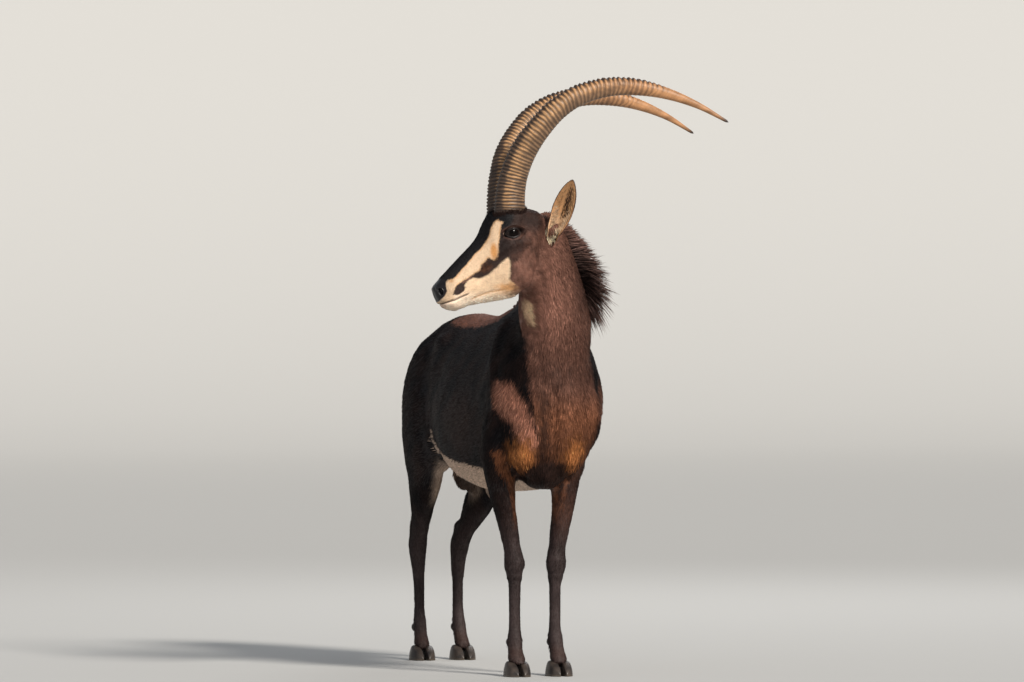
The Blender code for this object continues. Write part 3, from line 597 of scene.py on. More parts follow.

# %% [markdown]
# ## Depth of the coat
# The solids reach to the tips of the hair, so the skin has to lie lower by the depth of the coat: a
# millimetre or two on face and feet, half a centimetre on the trunk.

# %% Lower the skin by the coat's depth


def coat_depth(points):
    """How far the tips of the flat coat stand over the skin at each point."""
    forward, up, left = on_head(points)
    on_face = smooth(forward, -0.06, 0.03) * smooth(up, -0.42, -0.36) * (np.abs(left) < 0.17)
    feet = falls(points[:, 2], 0.42, 0.60)
    depth = 0.0050 - 0.0028 * feet
    return depth * (1 - on_face) + 0.0012 * on_face


normals = vertex_normals(skin_points, skin_triangles)
skin_points = skin_points - normals * coat_depth(skin_points)[:, None]
skin_normals = vertex_normals(skin_points, skin_triangles)

# %% [markdown]
# ## Markings and painted light
# The bull's mask is its badge: a black blaze, a cream stripe from above the eye to the nose, a dark band
# under the eye and a white cheek. The body is nearly black, the neck brown, the belly white. Light and shade
# are painted in too: sun on the back and neck, sheen on shoulders, flank and legs, shade on belly and thighs.
# All of it is worked out by one function of place, so that skin and hair always agree.

# %% Work out the markings and painted light
BLACK = np.array((0.006, 0.005, 0.006))
BLACK_BROWN = np.array((0.022, 0.012, 0.010))
BROWN = np.array((0.135, 0.064, 0.046))
# warm brown of the painted sunlight on the back
BACK_PAINTED_SUNLIGHT = np.array((0.215, 0.092, 0.062))
# paler brown of the painted sheen on the shoulders
SHOULDER_PAINTED_SHEEN = np.array((0.520, 0.228, 0.150))
RUST = np.array((0.230, 0.085, 0.038))
CHESTNUT = np.array((0.440, 0.165, 0.055))
CREAM = np.array((0.800, 0.575, 0.385))
WHITE = np.array((0.830, 0.640, 0.490))
# the legs' dark brown, with a cool painted sheen in it
LEG_PAINTED_SHEEN = np.array((0.042, 0.029, 0.028))
# the belly's white, painted dimmer than the cheek's white as shade
BELLY_WHITE_PAINTED_SHADE = np.array((0.520, 0.380, 0.290))
TAN = np.array((0.680, 0.320, 0.105))
# cream of the throat patch, painted brighter and warmer as sunlight
THROAT_PAINTED_SUNLIT = np.array((1.000, 0.680, 0.420))
NOSE_PAD = np.array((0.008, 0.007, 0.009))
# pink of the eye's front corner, with a painted glint of light in it
EYE_CORNER_PINK_AND_GLINT = np.array((0.420, 0.280, 0.220))
BLAZE_LINE = MM * np.array([(400, -230), (330, -226), (270, -168), (222, -118), (186, -70), (160, -20)])
STRIPE = MM * np.array([(149, -40), (157, -46), (167, -65), (171, -79), (176, -98), (186, -115),
                        (203, -137), (219, -150), (236, -170), (251, -187), (264, -200), (275, -213),
                        (286, -226), (297, -234), (307, -236), (319, -240), (322, -257), (319, -273),
                        (325, -289), (334, -299), (342, -308), (342, -316), (296, -306), (290, -290),
                        (300, -288), (294, -270), (288, -258), (277, -250), (264, -240), (250, -234),
                        (237, -224), (223, -214), (210, -208), (206, -198), (203, -188), (190, -175),
                        (180, -163), (174, -169), (165, -173), (155, -166), (151, -153), (149, -140),
                        (147, -120), (144, -100), (142, -80), (138, -60), (131, -49), (139, -46)])
CHEEK = MM * np.array([(116, -162), (126, -170), (142, -183), (152, -195), (165, -205), (174, -215),
                       (187, -223), (200, -229), (214, -231), (230, -229), (244, -235), (254, -244),
                       (264, -262), (290, -275), (310, -300), (345, -312), (380, -318), (370, -360),
                       (200, -370), (50, -350), (58, -290), (71, -262), (96, -246), (110, -236),
                       (109, -219), (108, -206), (109, -186), (111, -172)])
LIP_SPOT = MM * np.array([(288, -257), (277, -250), (267, -248), (261, -254), (258, -263), (261, -273),
                          (271, -282), (282, -287), (295, -288), (300, -285), (295, -273), (292, -265)])
NOSE = MM * np.array([(322, -239), (322, -257), (319, -273), (325, -289), (334, -299), (340, -307),
                      (346, -314), (400, -315), (400, -200), (334, -230)])
BRISKET = MM * np.array([(-141, 710), (-114, 728), (-59, 741), (-1, 727), (22, 690), (30, 600),
                         (-150, 600), (-141, 680)])
# outlines of the painted sheen on the point of the shoulder and on the upper arm
SHOULDER = MM * np.array([(-193, 992), (-184, 999), (-166, 997), (-153, 974), (-143, 947),
                          (-130, 921), (-126, 894), (-132, 868), (-153, 857), (-176, 867),
                          (-190, 886), (-200, 912), (-203, 950)])
UPPER_ARM = MM * np.array([(-180, 890), (-150, 880), (-128, 905), (-112, 880), (-104, 840), (-104, 780),
                           (-135, 765), (-152, 800), (-166, 840)])
# lines of rust down the upper fore legs, with their width and strength
RUST_LINES = (([(-195, 755), (-178, 700), (-152, 655), (-130, 590), (-127, 500)], 20, 0.70),
              ([(40, 660), (34, 620), (28, 560)], 9, 0.60), ([(12, 640), (10, 520)], 10, 0.75))
# drawn lines of (height, place across): the shoulder's edge of the brown, and the painted light on the neck;
# then of (length, height): the upper edge of the belly's white and the lower edge of the painted sunlight on
# the back
EDGE_LINE = [(0.70, 0.0), (0.75, 0.03), (0.811, 0.068), (0.861, 0.069), (0.928, 0.056), (0.994, 0.046),
             (1.06, 0.039), (1.11, 0.034), (1.16, 0.030), (1.235, 0.024), (1.28, 0.020), (1.36, -0.04),
             (1.50, -0.30)]
NECK_PAINTED_LIGHT = [(0.70, 0.50), (0.80, 0.75), (0.86, 1.15), (0.92, 1.25), (0.98, 0.95), (1.03, 0.62),
              (1.10, 1.15), (1.16, 2.15), (1.24, 2.60), (1.32, 2.20), (1.42, 1.60)]
BELLY_LINE = [(-0.40, 0.60), (-0.30, 0.655), (-0.10, 0.688), (0.013, 0.704), (0.071, 0.712), (0.116, 0.721),
              (0.16, 0.734), (0.287, 0.751), (0.301, 0.770), (0.327, 0.790), (0.345, 0.70)]
PAINTED_SUNLIGHT_LINE = [(-0.10, 1.230), (-0.04, 1.204), (-0.01, 1.190), (0.07, 1.176), (0.14, 1.167), (0.20, 1.161),
               (0.32, 1.162), (0.374, 1.167), (0.44, 1.177), (0.50, 1.20)]
BREAST_MIDDLE = -0.040
# the front of neck and breast is drawn on an upright plane, turned this far from straight across
BREAST_TURN = math.radians(16.0)
TURN_COS, TURN_SIN = math.cos(BREAST_TURN), math.sin(BREAST_TURN)


def mixed(base, over, share):
    """One colour laid over another, by a share for each point."""
    return base * (1 - share[:, None]) + over * share[:, None]


def wander(points, size, seed):
    """A smooth uneven field between -1 and 1: a few crossing waves of about the given size."""
    field = np.zeros(len(points))
    turns = np.random.default_rng(seed)
    for _ in range(5):
        way = unit(turns.normal(size=3)) * 2 * math.pi / (size * turns.uniform(0.7, 1.5))
        field += np.sin(points @ way + turns.uniform(0, 6.28))
    return field / 5 * 1.6


def nose_share(points):
    """1 on the bare, moist nose pad."""
    forward, up, _ = on_head(points)
    return smooth(inside(forward, up, NOSE), -0.001, 0.002)


def neck_and_breast(colour, points, toward, fine, streak):
    """Brown neck and breast with painted light and shade, ending in a line down each shoulder, a dark middle
    and crest.
    """
    x, y, z = points.T
    edge_line = read_off(z, EDGE_LINE)
    mirrored = TURN_COS * (2 * BREAST_MIDDLE - x) - TURN_SIN * y + 0.10
    front = smooth(toward - edge_line + 0.003 * streak, -0.008, 0.010) * smooth(-y, 0.40, 0.47) \
        * smooth(mirrored - 0.55 * edge_line - 0.016, -0.012, 0.030) * smooth(z, 0.62, 0.74)
    # painted light and shade: the brown is brightened by height as painted light and darkened on its far side
    # as painted shade
    painted_shade_far_side = smooth(toward, 0.10, 0.21) * smooth(z, 1.06, 1.14)
    lit = read_off(z, NECK_PAINTED_LIGHT) * (1 - 0.50 * painted_shade_far_side) * (1 + 0.26 * streak + 0.12 * fine)
    breast = mixed(BROWN, RUST * 0.80, smooth(-z, -1.00, -0.86) * 0.70)
    colour = mixed(colour, breast * lit[:, None], front)
    middle = bump_at(toward - 0.092 + 0.010 * fine, 0.020) * falls(z, 0.92, 1.00)
    colour = mixed(colour, BLACK_BROWN, np.clip(0.75 * middle + 0.15 * streak, 0, 1) * front)
    crest = smooth(x, 0.0, 0.06) * smooth(z, 1.18, 1.28) * smooth(-y, 0.38, 0.50)
    return mixed(colour, BLACK_BROWN, 0.6 * crest)


def shoulders(colour, points, broad, fine, streak):
    """Painted sheen in a paler brown on each shoulder's point and upper arm, chestnut and rust over the fore
    legs, a dark brisket.
    """
    x, y, z = points.T
    right = x < BREAST_MIDDLE
    across = np.where(right, x, 2 * BREAST_MIDDLE + 0.075 - x)
    # painted sheen: light on the point of each shoulder and on the upper arm, in a paler brown, fainter on
    # the far side
    point = inside(across, z, SHOULDER) + 0.004 * streak
    colour = mixed(colour, SHOULDER_PAINTED_SHEEN * (1 + 0.2 * streak[:, None]),
                   np.where(right, 0.95, 0.22) * smooth(point, -0.010, 0.020) * smooth(-y, 0.385, 0.450))
    arm = inside(x, z, UPPER_ARM) + 0.005 * streak + 0.004 * fine
    colour = mixed(colour, SHOULDER_PAINTED_SHEEN * (0.85 + 0.25 * streak[:, None]),
                   0.85 * smooth(arm, -0.008, 0.014) * smooth(-y, 0.385, 0.450))
    ahead = smooth(-y, 0.46, 0.52)
    # two chestnut patches on the breast; the one on the right side is painted stronger as painted light
    for centre, size, painted_light_strength in (((-0.145, 0.757), (0.030, 0.048), 1.55),
                                 ((0.032, 0.757), (0.038, 0.046), 1.10)):
        patch = spot(x, z, centre, size) + 0.30 * fine + 0.25 * streak
        colour = mixed(colour, CHESTNUT * 0.6, 0.75 * falls(patch, 0.7, 1.7) * ahead)
        colour = mixed(colour, CHESTNUT * painted_light_strength, 0.90 * falls(patch, 0.20, 1.05) * ahead)
    brisket = inside(x, z, BRISKET) + 0.006 * fine
    colour = mixed(colour, BLACK_BROWN * (0.8 + 0.6 * broad[:, None]),
                   0.92 * smooth(brisket, -0.006, 0.012) * smooth(-y, 0.36, 0.42))
    for line, wide, share in RUST_LINES:
        gap, along, _ = from_line(x, z, MM * np.array(line))
        near = falls(gap / MM + 6 * fine, 0.4 * wide, wide) * (along < 0.999) * smooth(-y, 0.38, 0.44)
        colour = mixed(colour, RUST * (1.2 - 0.6 * along[:, None]), share * near)
    return colour


def belly_and_thighs(colour, points, edge, fine):
    """White belly with an edge that runs up the flank's fold, pale inner thighs and a dark groin; painted
    shade on belly, thighs, sheath.
    """
    x, y, z = points.T
    below = read_off(y, BELLY_LINE) - z + edge
    taper = read_off(y, [(0.08, 0.20), (0.14, 0.080), (0.20, 0.030), (0.27, 0.006)]) + 0.004 * fine
    reaches = np.maximum(falls(below - taper, 0.0, 0.012), falls(np.abs(x - 0.02) + 0.006 * fine, 0.09, 0.15))
    belly = smooth(below, -0.003, 0.004) * smooth(y, -0.37, -0.33) * falls(y, 0.272, 0.290) * reaches
    hind = np.sign(x - HIND_MIDDLE)
    thigh_out = read_off(z, [(0.50, 0.074), (0.60, 0.086), (0.74, 0.084), (0.85, 0.074), (0.96, 0.06)])
    thigh_x = HIND_MIDDLE + hind * thigh_out - 0.034 * (hind < 0)
    thigh = smooth(-hind * (x - thigh_x), 0.000, 0.030) * smooth(y, 0.27, 0.32) * smooth(z, 0.53, 0.60) \
        * falls(z, 0.98, 1.04) * falls(y, 0.62, 0.70)
    # pale inner thighs, painted darker as shade, by a different amount on each hind leg
    colour = mixed(colour, BELLY_WHITE_PAINTED_SHADE * np.where(hind < 0, 0.78, 0.60)[:, None], thigh * 0.9)
    crease, along, _ = from_line(y, z, [(0.321, 0.808), (0.307, 0.780), (0.292, 0.755), (0.279, 0.732)])
    crease = falls(crease - 0.0026 * along, 0.0, 0.0022)
    colour = mixed(colour, BELLY_WHITE_PAINTED_SHADE, 0.9 * crease * smooth(np.abs(x + 0.02), 0.10, 0.13))
    colour = mixed(colour, BELLY_WHITE_PAINTED_SHADE, belly)
    # painted shade on the sheath, and a dark patch in the groin
    for centre, size in (((0, 0.22, 0.625), (0.05, 0.06, 0.040)),
                         ((-0.055, 0.455, 0.62), (0.045, 0.06, 0.05))):
        dark = np.sqrt((((points - centre) / size) ** 2).sum(axis=1))
        colour = mixed(colour, BLACK_BROWN, 0.85 * falls(dark, 0.7, 1.1))
    return colour


def face_colours(points, edge, fine, streak):
    """The mask: brown head, black forehead and blaze, cream stripe and cheek, dark bands, lids and lips,
    painted light and shade.
    """
    forward, up, left = on_head(points)
    out = np.abs(left)
    strands = (0.24 + 0.24 * smooth(up, -0.18, -0.11)) * streak
    patchy = 0.14 * fine + 0.22 * wander(points, 0.035, 12) + strands
    face = mixed(BROWN * 1.45 * (1 + patchy[:, None]), BLACK_BROWN * 1.5, smooth(forward, 0.080, 0.120))
    below_eye = spot(forward, up, (0.086, -0.125), (0.030, 0.045)) + 0.25 * fine
    face = mixed(face, BLACK_BROWN * 1.8, 0.75 * falls(below_eye, 0.5, 1.3))
    face = face * (1 - 0.42 * smooth(up, -0.19, -0.12))[:, None]
    forehead = smooth(up + 0.010 * streak, -0.086, -0.050) * smooth(forward, -0.03, 0.01)
    face = mixed(face, BLACK_BROWN, forehead * 0.9)
    blaze = from_line(forward, up, BLAZE_LINE)
    face = mixed(face, BLACK * 1.1, falls(blaze[0] - 0.4 * out, 0.020, 0.035))
    # the cream stripe, browner along its edge and at its upper end
    stripe = inside(forward, up, STRIPE) + edge
    on_stripe = smooth(stripe, -0.001, 0.002)
    face = mixed(face, CREAM * 0.94, smooth(stripe, -0.0016, 0.0022))
    face = mixed(face, TAN * 0.9, 0.55 * falls(stripe, 0.001, 0.006) * on_stripe * (forward < 0.30))
    tan = spot(forward, up, (0.163, -0.143), (0.010, 0.026))
    face = mixed(face, TAN, 0.95 * falls(tan, 0.55, 1.35) * on_stripe)
    # the cheek, tan behind and white below
    cheek = inside(forward, up, CHEEK) + edge
    rear_tan = spot(forward, up, (0.104, -0.264), (0.044, 0.028)) + 0.25 * fine + 0.20 * streak
    pale = mixed(CREAM * 1.04, TAN, 0.75 * falls(rear_tan, 0.2, 1.35))
    pale = mixed(pale, WHITE, 0.6 * smooth(-up, 0.262, 0.300))
    jaw_end = 0.026 * falls(up, -0.260, -0.235)
    fades = smooth(forward + 0.014 * streak - jaw_end, 0.052, 0.088)
    face = mixed(face, pale, smooth(cheek, -0.002, 0.0030) * (0.25 + 0.75 * fades))
    # painted bounce light: the white under the jaw is painted brighter than the cheek's white
    under = smooth(-up, 0.282, 0.304) * smooth(forward, 0.080, 0.125)
    face = mixed(face, WHITE * 1.18, under * smooth(cheek, -0.05, -0.02))
    face = mixed(face, CREAM * 0.76, on_stripe * smooth(forward, 0.285, 0.300))
    # corner of the lip, jaw line, lip spot, whisker line, the band under the eye and the mouth
    lip_corner = spot(forward, up, (0.304, -0.241), (0.011, 0.007))
    face = mixed(face, TAN * 0.6, 0.7 * falls(lip_corner, 0.3, 1.2))
    jaw = from_line(forward, up, JAW_LINE)
    face = mixed(face, TAN * 0.55, 0.75 * falls(jaw[0], 0.0010, 0.0036) * smooth(jaw[1], 0.0, 0.15))
    lip_spot = inside(forward, up, LIP_SPOT) + edge
    face = mixed(face, BLACK_BROWN * 1.5, smooth(lip_spot, -0.0015, 0.0015) * (out > 0.015))
    whisker = from_line(forward, up, [(0.237, -0.226), (0.250, -0.238), (0.264, -0.246)])
    face = mixed(face, BROWN * 1.3, 0.8 * falls(whisker[0], 0.0015, 0.0042))
    between = falls(stripe, -0.002, 0.0) * falls(cheek, -0.002, 0.0)
    band_rust = spot(forward, up, (0.200, -0.195), (0.034, 0.022)) + 0.2 * fine
    face = mixed(face, RUST * 0.40 * (1 + 0.9 * streak[:, None]), 0.7 * falls(band_rust, 0.2, 1.3) * between)
    lips = from_line(forward, up, MOUTH_LINE)
    face = mixed(face, BLACK_BROWN, falls(lips[0], 0.0012, 0.0028) * falls(lips[1], 0.92, 1.0))
    # the front of the lower lip in its own brown, with painted shade along the chin's front edge
    front_lip = smooth(forward, 0.312, 0.335) * smooth(-up, 0.312, 0.322)
    face = mixed(face, BROWN * 1.3, 0.8 * front_lip)
    # the dark ring round the eye, its browner lids, the pink corner with a painted glint on it, and the tear
    # line
    rim_along, rim_across = lid_place(forward, up)
    rim = np.hypot(rim_along, rim_across)
    on_side = (out > 0.05) * 1.0
    off_stripe = falls(stripe, -0.003, 0.0)
    face = mixed(face, BLACK_BROWN * 1.4, 0.75 * falls(rim + 0.3 * fine, 1.4, 2.7) * on_side * off_stripe)
    face = mixed(face, BLACK_BROWN * 0.8, falls(rim, 1.05, 1.45) * on_side)
    face = mixed(face, BROWN * 0.9, 0.5 * bump_at(rim - 1.72, 0.20) * smooth(rim_across, 0.1, 0.8) * on_side)
    face = mixed(face, BROWN * 1.4, 0.4 * bump_at(rim - 1.50, 0.14) * smooth(-rim_across, 0.3, 0.9) * on_side)
    corner = spot(forward, up, (0.1265, -0.084), (0.0045, 0.0055))
    face = mixed(face, EYE_CORNER_PINK_AND_GLINT, 0.75 * falls(corner, 0.5, 1.1) * on_side)
    tear = from_line(forward, up, [(0.100, -0.103), (0.092, -0.118), (0.076, -0.140)])
    face = mixed(face, BLACK_BROWN * 1.4, 0.7 * falls(tear[0], 0.0012, 0.0040) * on_side)
    return mixed(face, NOSE_PAD, nose_share(points))


def markings_and_painted_light(points):
    """The coat's colour and painted light at each point, from its place on the body or on the head."""
    x, y, z = points.T
    forward, up, left = on_head(points)
    out = np.abs(left)
    edge = 0.0006 * wander(points, 0.012, 3)
    broad = wander(points, 0.09, 5)
    fine = wander(points, 0.022, 6)
    streak = wander(points * np.array((1.0, 1.0, 0.22)), 0.011, 8)
    toward = TURN_COS * x - TURN_SIN * y
    # nearly black, a little browner at random, and a painted sheen in brown on the flank
    colour = mixed(BLACK, BLACK_BROWN, np.clip(0.35 + 0.4 * broad, 0, 1))
    flank_painted_sheen = spot(y, z, (-0.04, 0.85), (0.11, 0.12))
    colour = mixed(colour, BLACK_BROWN * 1.3, 0.6 * falls(flank_painted_sheen, 0.6, 1.3))
    colour = neck_and_breast(colour, points, toward, fine, streak)
    # painted sunlight: a warm brown along the top of the back, over the loins
    painted_sunlit_back = smooth(z - read_off(y, PAINTED_SUNLIGHT_LINE) + 0.003 * fine, -0.004, 0.006)
    painted_sunlit_back = painted_sunlit_back * smooth(y, -0.09, -0.03) * falls(y, 0.43, 0.47)
    colour = mixed(colour, BACK_PAINTED_SUNLIGHT * (1 + 0.25 * fine[:, None]), 0.9 * painted_sunlit_back)
    colour = shoulders(colour, points, broad, fine, streak)
    colour = belly_and_thighs(colour, points, edge, fine)
    # legs: dark brown with a cool painted sheen
    low = falls(z, 0.46, 0.58)
    colour = mixed(colour, LEG_PAINTED_SHEEN * (1.0 + 0.25 * broad[:, None]), low)
    upper_leg = np.where(x < -0.06, 0.15, 0.6) * bump_at(z - 0.56, 0.08) * smooth(-y, 0.42, 0.46)
    colour = mixed(colour, BROWN * 0.75, upper_leg)
    pasterns = bump_at(z - 0.075, 0.03)
    colour = mixed(colour, BROWN * 0.5, 0.4 * low * pasterns)
    head = head_share(points)
    colour = mixed(colour, face_colours(points, edge, fine, streak), head)
    # the pale patch where throat meets jaw, painted brighter and warmer as sunlight; the ridge behind the
    # jaw;
    # painted shade down the right side of the neck
    # the throat's pale patch, painted brighter and warmer than its own cream as sunlight on it
    throat = spot(toward - 0.15 * (1.22 - z), z, (0.039, 1.220), (0.015, 0.042)) + 0.20 * fine + 0.25 * streak
    colour = mixed(colour, THROAT_PAINTED_SUNLIT, 0.95 * falls(throat, 0.30, 1.35) * (y < -0.54) * (x < -0.05))
    ridge = bump_at(forward + 0.046 + 0.008 * streak, 0.020)
    ridge = ridge * smooth(-up, 0.09, 0.13) * falls(-up, 0.28, 0.36)
    colour = mixed(colour, BROWN * 1.9, 0.40 * ridge * smooth(out, 0.03, 0.06) * (out < 0.17))
    neck_painted_shade = smooth(-x, 0.158, 0.170) * smooth(z, 1.12, 1.16) * (y < -0.50) * falls(z, 1.30, 1.34)
    colour = mixed(colour, BLACK_BROWN, neck_painted_shade * (1 - head))
    return np.clip(colour, 0, 1)


skin_colours = markings_and_painted_light(skin_points)
print("mean colour of the skin", skin_colours.mean(axis=0).round(3))

# %% [markdown]
# ## Finish of hide and hair
# Short hair is a rough sheet that still shines along its lie. The base colour comes from the markings and
# painted light, broken up by fine noise, and a bump of the width of a few hairs keeps the light from lying
# too smooth.

# %% Hair and hide material


def make_paint(name):
    """A node material and its main shader."""
    paint = bpy.data.materials.new(name)
    paint.use_nodes = True
    return paint, paint.node_tree.nodes, paint.node_tree.links, paint.node_tree.nodes["Principled BSDF"]


def add_noise(nodes, links, coordinates, scale, detail=3.0, stretch=(1.0, 1.0, 1.0)):
    """A noise texture on the given coordinates, stretched along any axis."""
    mapping = nodes.new("ShaderNodeMapping")
    mapping.inputs["Scale"].default_value = stretch
    links.new(coordinates, mapping.inputs["Vector"])
    noise = nodes.new("ShaderNodeTexNoise")
    noise.inputs["Scale"].default_value = scale
    noise.inputs["Detail"].default_value = detail
    links.new(mapping.outputs["Vector"], noise.inputs["Vector"])
    return noise.outputs["Fac"]


def spread(nodes, links, value, low, high):
    """Map a value from 0..1 to low..high."""
    node = nodes.new("ShaderNodeMapRange")
    node.inputs["To Min"].default_value = low
    node.inputs["To Max"].default_value = high
    links.new(value, node.inputs["Value"])
    return node.outputs["Result"]


def add_bump(nodes, links, shader, height, strength, distance):
    """Bump from a height value."""
    bump = nodes.new("ShaderNodeBump")
    bump.inputs["Strength"].default_value = strength
    bump.inputs["Distance"].default_value = distance
    links.new(height, bump.inputs["Height"])
    links.new(bump.outputs["Normal"], shader.inputs["Normal"])


def point_colour(nodes, attribute):
    """A value or colour kept for each point."""
    node = nodes.new("ShaderNodeAttribute")
    node.attribute_name = attribute
    return node


def grained_paint(name, attribute, grain, detail, tones, bump, specular):
    """The point colour times a fine noise between two tones, with a bump of a strength and a distance."""
    paint, nodes, links, shader = make_paint(name)
    place = nodes.new("ShaderNodeTexCoord").outputs["Object"]
    fine = add_noise(nodes, links, place, grain, detail)
    scale = nodes.new("ShaderNodeVectorMath")
    scale.operation = "SCALE"
    links.new(point_colour(nodes, attribute).outputs["Color"], scale.inputs[0])
    links.new(spread(nodes, links, fine, *tones), scale.inputs["Scale"])
    links.new(scale.outputs["Vector"], shader.inputs["Base Color"])
    shader.inputs["Specular IOR Level"].default_value = specular
    add_bump(nodes, links, shader, fine, *bump)
    return paint, nodes, links, shader, place


WET_ROUGHNESS = 0.28


def coat_paint(name, roughness, grain, bump_strength, specular):
    """Hair: a grained paint that is rough, and smooth where the wet share is 1."""
    paint, nodes, links, shader, _ = grained_paint(name, "coat_colour", grain, 3.0, (0.55, 1.45),
                                                   (bump_strength, 0.002), specular)
    wet = point_colour(nodes, "wet_share").outputs["Fac"]
    links.new(spread(nodes, links, wet, roughness, WET_ROUGHNESS), shader.inputs["Roughness"])
    return paint


skin_paint = coat_paint("short hair on hide", 0.66, 420.0, 0.35, 0.30)
hair_paint = coat_paint("hair", 0.58, 300.0, 0.10, 0.07)

# %% Unwrap the skin and make it a piece
melted.vertices.foreach_set("co", skin_points.astype(np.float32).ravel())
skin = bpy.data.objects.new("skin", melted)
melted.name = "skin"
bpy.context.scene.collection.objects.link(skin)
melted.shade_smooth()
melted.materials.clear()
for layer in list(melted.uv_layers):
    melted.uv_layers.remove(layer)
melted.uv_layers.new(name="OFBake")
bpy.ops.object.select_all(action="DESELECT")
skin.select_set(True)
bpy.context.view_layer.objects.active = skin
bpy.ops.object.mode_set(mode="EDIT")
bpy.ops.mesh.select_all(action="SELECT")
bpy.ops.uv.smart_project(angle_limit=math.radians(60), island_margin=0.002)
bpy.ops.object.mode_set(mode="OBJECT")
point_value(skin, "coat_colour", skin_colours)
point_value(skin, "wet_share", smooth(nose_share(skin_points), 0.3, 0.9))
finish_piece(skin, skin_paint, "coat", *FLESH)

# %% [markdown]
# ## Horns
# A sable's horn is a sheath of keratin on a bone core. It grows in rings: each year's growth leaves
# ridges that stand out as knobs along the front and fade towards the back, and the last fifth is smooth.
# One surface gives it all: an oval carried along the horn's curve, with a ridge wave added to its radius.
# Modelling each ring as a loop would make them all alike, and a formula lets spacing, height and slant
# drift.

# %% Horn curve and ridge wave
HORN = MM * np.array([(99, -24, 42, 102), (98, 2, 44, 104), (95, 60, 54, 98), (84, 120, 70, 92),
                      (59, 190, 98, 88), (16, 258, 126, 81), (-45, 324, 148, 75), (-125, 371, 158, 68),
                      (-225, 395, 164, 62), (-324, 393, 168, 54), (-423, 371, 174, 38),
                      (-523, 332, 182, 22), (-622, 276, 194, 8)])
HORN_SIDES, HORN_STEPS = 60, 560
FIRST_SPACING, SPACING_GROWTH = 0.0105, 0.0090
RINGED_SHARE = 0.80
HORN_TAN = np.array((0.500, 0.280, 0.130))
HORN_GREY = np.array((0.200, 0.125, 0.080))
HORN_GROOVE = np.array((0.038, 0.024, 0.018))
HORN_TIP = np.array((0.440, 0.220, 0.100))


def horn_surface(side):
    """Oval rings along the curve; ridge number grows as a logarithm of the length, so the spacing widens.

    The ridge wave is a cosine flattened into broad crests and narrow grooves, tallest in front.
    """
    rows = curve_through(HORN, 40)
    run = np.r_[0, np.cumsum(np.linalg.norm(np.diff(rows[:, :3], axis=0), axis=1))]
    t = np.linspace(0, 1, HORN_STEPS)
    forward, up, out, thick = (np.interp(t * run[-1], run, rows[:, k]) for k in range(4))
    centre = from_head(forward, up, side * out)
    way = unit(np.gradient(centre, axis=0))
    across = head_way(0.0, 0.0, 1.0)
    across = unit(across - way * (way @ across)[:, None])
    front = np.cross(across, way)
    a = np.linspace(0, 2 * np.pi, HORN_SIDES, endpoint=False)[None, :]
    length = (t * run[-1])[:, None]
    number = np.log(1 + SPACING_GROWTH * length / FIRST_SPACING) / SPACING_GROWTH
    drift = 0.10 * np.sin(1.7 * number + 2.0 * side) + 0.11 * np.sin(3 * a + 0.9 * number) \
        + 0.08 * np.sin(5 * a + 2.3 * number)
    phase = number + 0.16 * np.cos(2 * a) - 0.20 * np.cos(a) * smooth(length, 0.0, 0.4) + drift * 0.6
    crest = (0.5 + 0.5 * np.cos(2 * np.pi * phase)) ** 0.8
    facing = np.maximum(np.cos(a), 0.0)
    fade = (falls(t, RINGED_SHARE - 0.16, RINGED_SHARE + 0.03) * smooth(t, 0.0, 0.03))[:, None]
    uneven = 1 + 0.25 * np.sin(2.3 * np.floor(phase) + 0.7)
    tall = (0.0010 + 0.0012 * (0.5 + 0.5 * np.cos(a)) + 0.0034 * facing ** 4) * uneven * fade
    half = thick[:, None] / 2
    round_off = np.sqrt(np.clip(1 - smooth(t, 0.985, 1.0) ** 2, 0.0, 1.0))[:, None]
    radius_front = (half - 0.6 * tall + tall * crest) * round_off
    radius_across = (half * (0.72 + 0.18 * t[:, None]) - 0.6 * tall + tall * crest) * round_off
    rings = centre[:, None] + front[:, None] * (radius_front * np.cos(a))[..., None] \
        + across[:, None] * (radius_across * np.sin(a))[..., None]
    groove = (1 - crest) * fade
    return rings, t[:, None] + 0 * a, groove, facing + 0 * t[:, None], 0.5 - 0.5 * np.cos(a) + 0 * t[:, None]


def horn_colours(t, groove, facing, back, points):
    """Straw on the crests, darker in the grooves, painted shade down the front knobs, greyer behind, dark at
    the tip.
    """
    flat = [value.ravel() for value in (t, groove, facing, back)]
    t, groove, facing, back = (np.r_[value, value[0], value[-1]] for value in flat)
    tone = 1 + 0.22 * wander(points, 0.05, 21) + 0.12 * wander(points, 0.012, 22)
    colour = mixed(HORN_TAN, HORN_TIP, smooth(t, 0.35, 0.70))
    greyed = smooth(back + 0.08 * wander(points, 0.06, 24), 0.42, 0.68) * 0.75 * falls(t, 0.50, 0.75)
    colour = mixed(colour, HORN_GREY * 0.8, greyed)
    colour = mixed(colour, HORN_GREY * 0.35, 0.75 * falls(t, 0.008, 0.055))
    colour = mixed(colour, HORN_GROOVE, 0.95 * falls(t, 0.012, 0.030))
    ringed = falls(t, RINGED_SHARE - 0.10, RINGED_SHARE)
    # painted shade: the front of the ringed part, turned away from the light, is painted dark
    painted_shade_front = smooth(facing + 0.15 * falls(t, 0.10, 0.40) + 0.06 * wander(points, 0.03, 25), 0.66, 0.88)
    colour = mixed(colour, HORN_GROOVE * 1.4, 0.90 * painted_shade_front * ringed)
    colour = colour * tone[:, None]
    in_groove = smooth(groove + 0.18 * wander(points, 0.02, 23), 0.14, 0.50)
    worn = (0.20 + 0.22 * smooth(t, 0.30, 0.60)) * smooth(t, 0.08, 0.25) * falls(facing, 0.3, 0.8)
    colour = mixed(colour, HORN_GROOVE, in_groove * (0.90 - worn))
    return mixed(colour, HORN_GROOVE * 0.8, smooth(t, 0.955, 0.995))


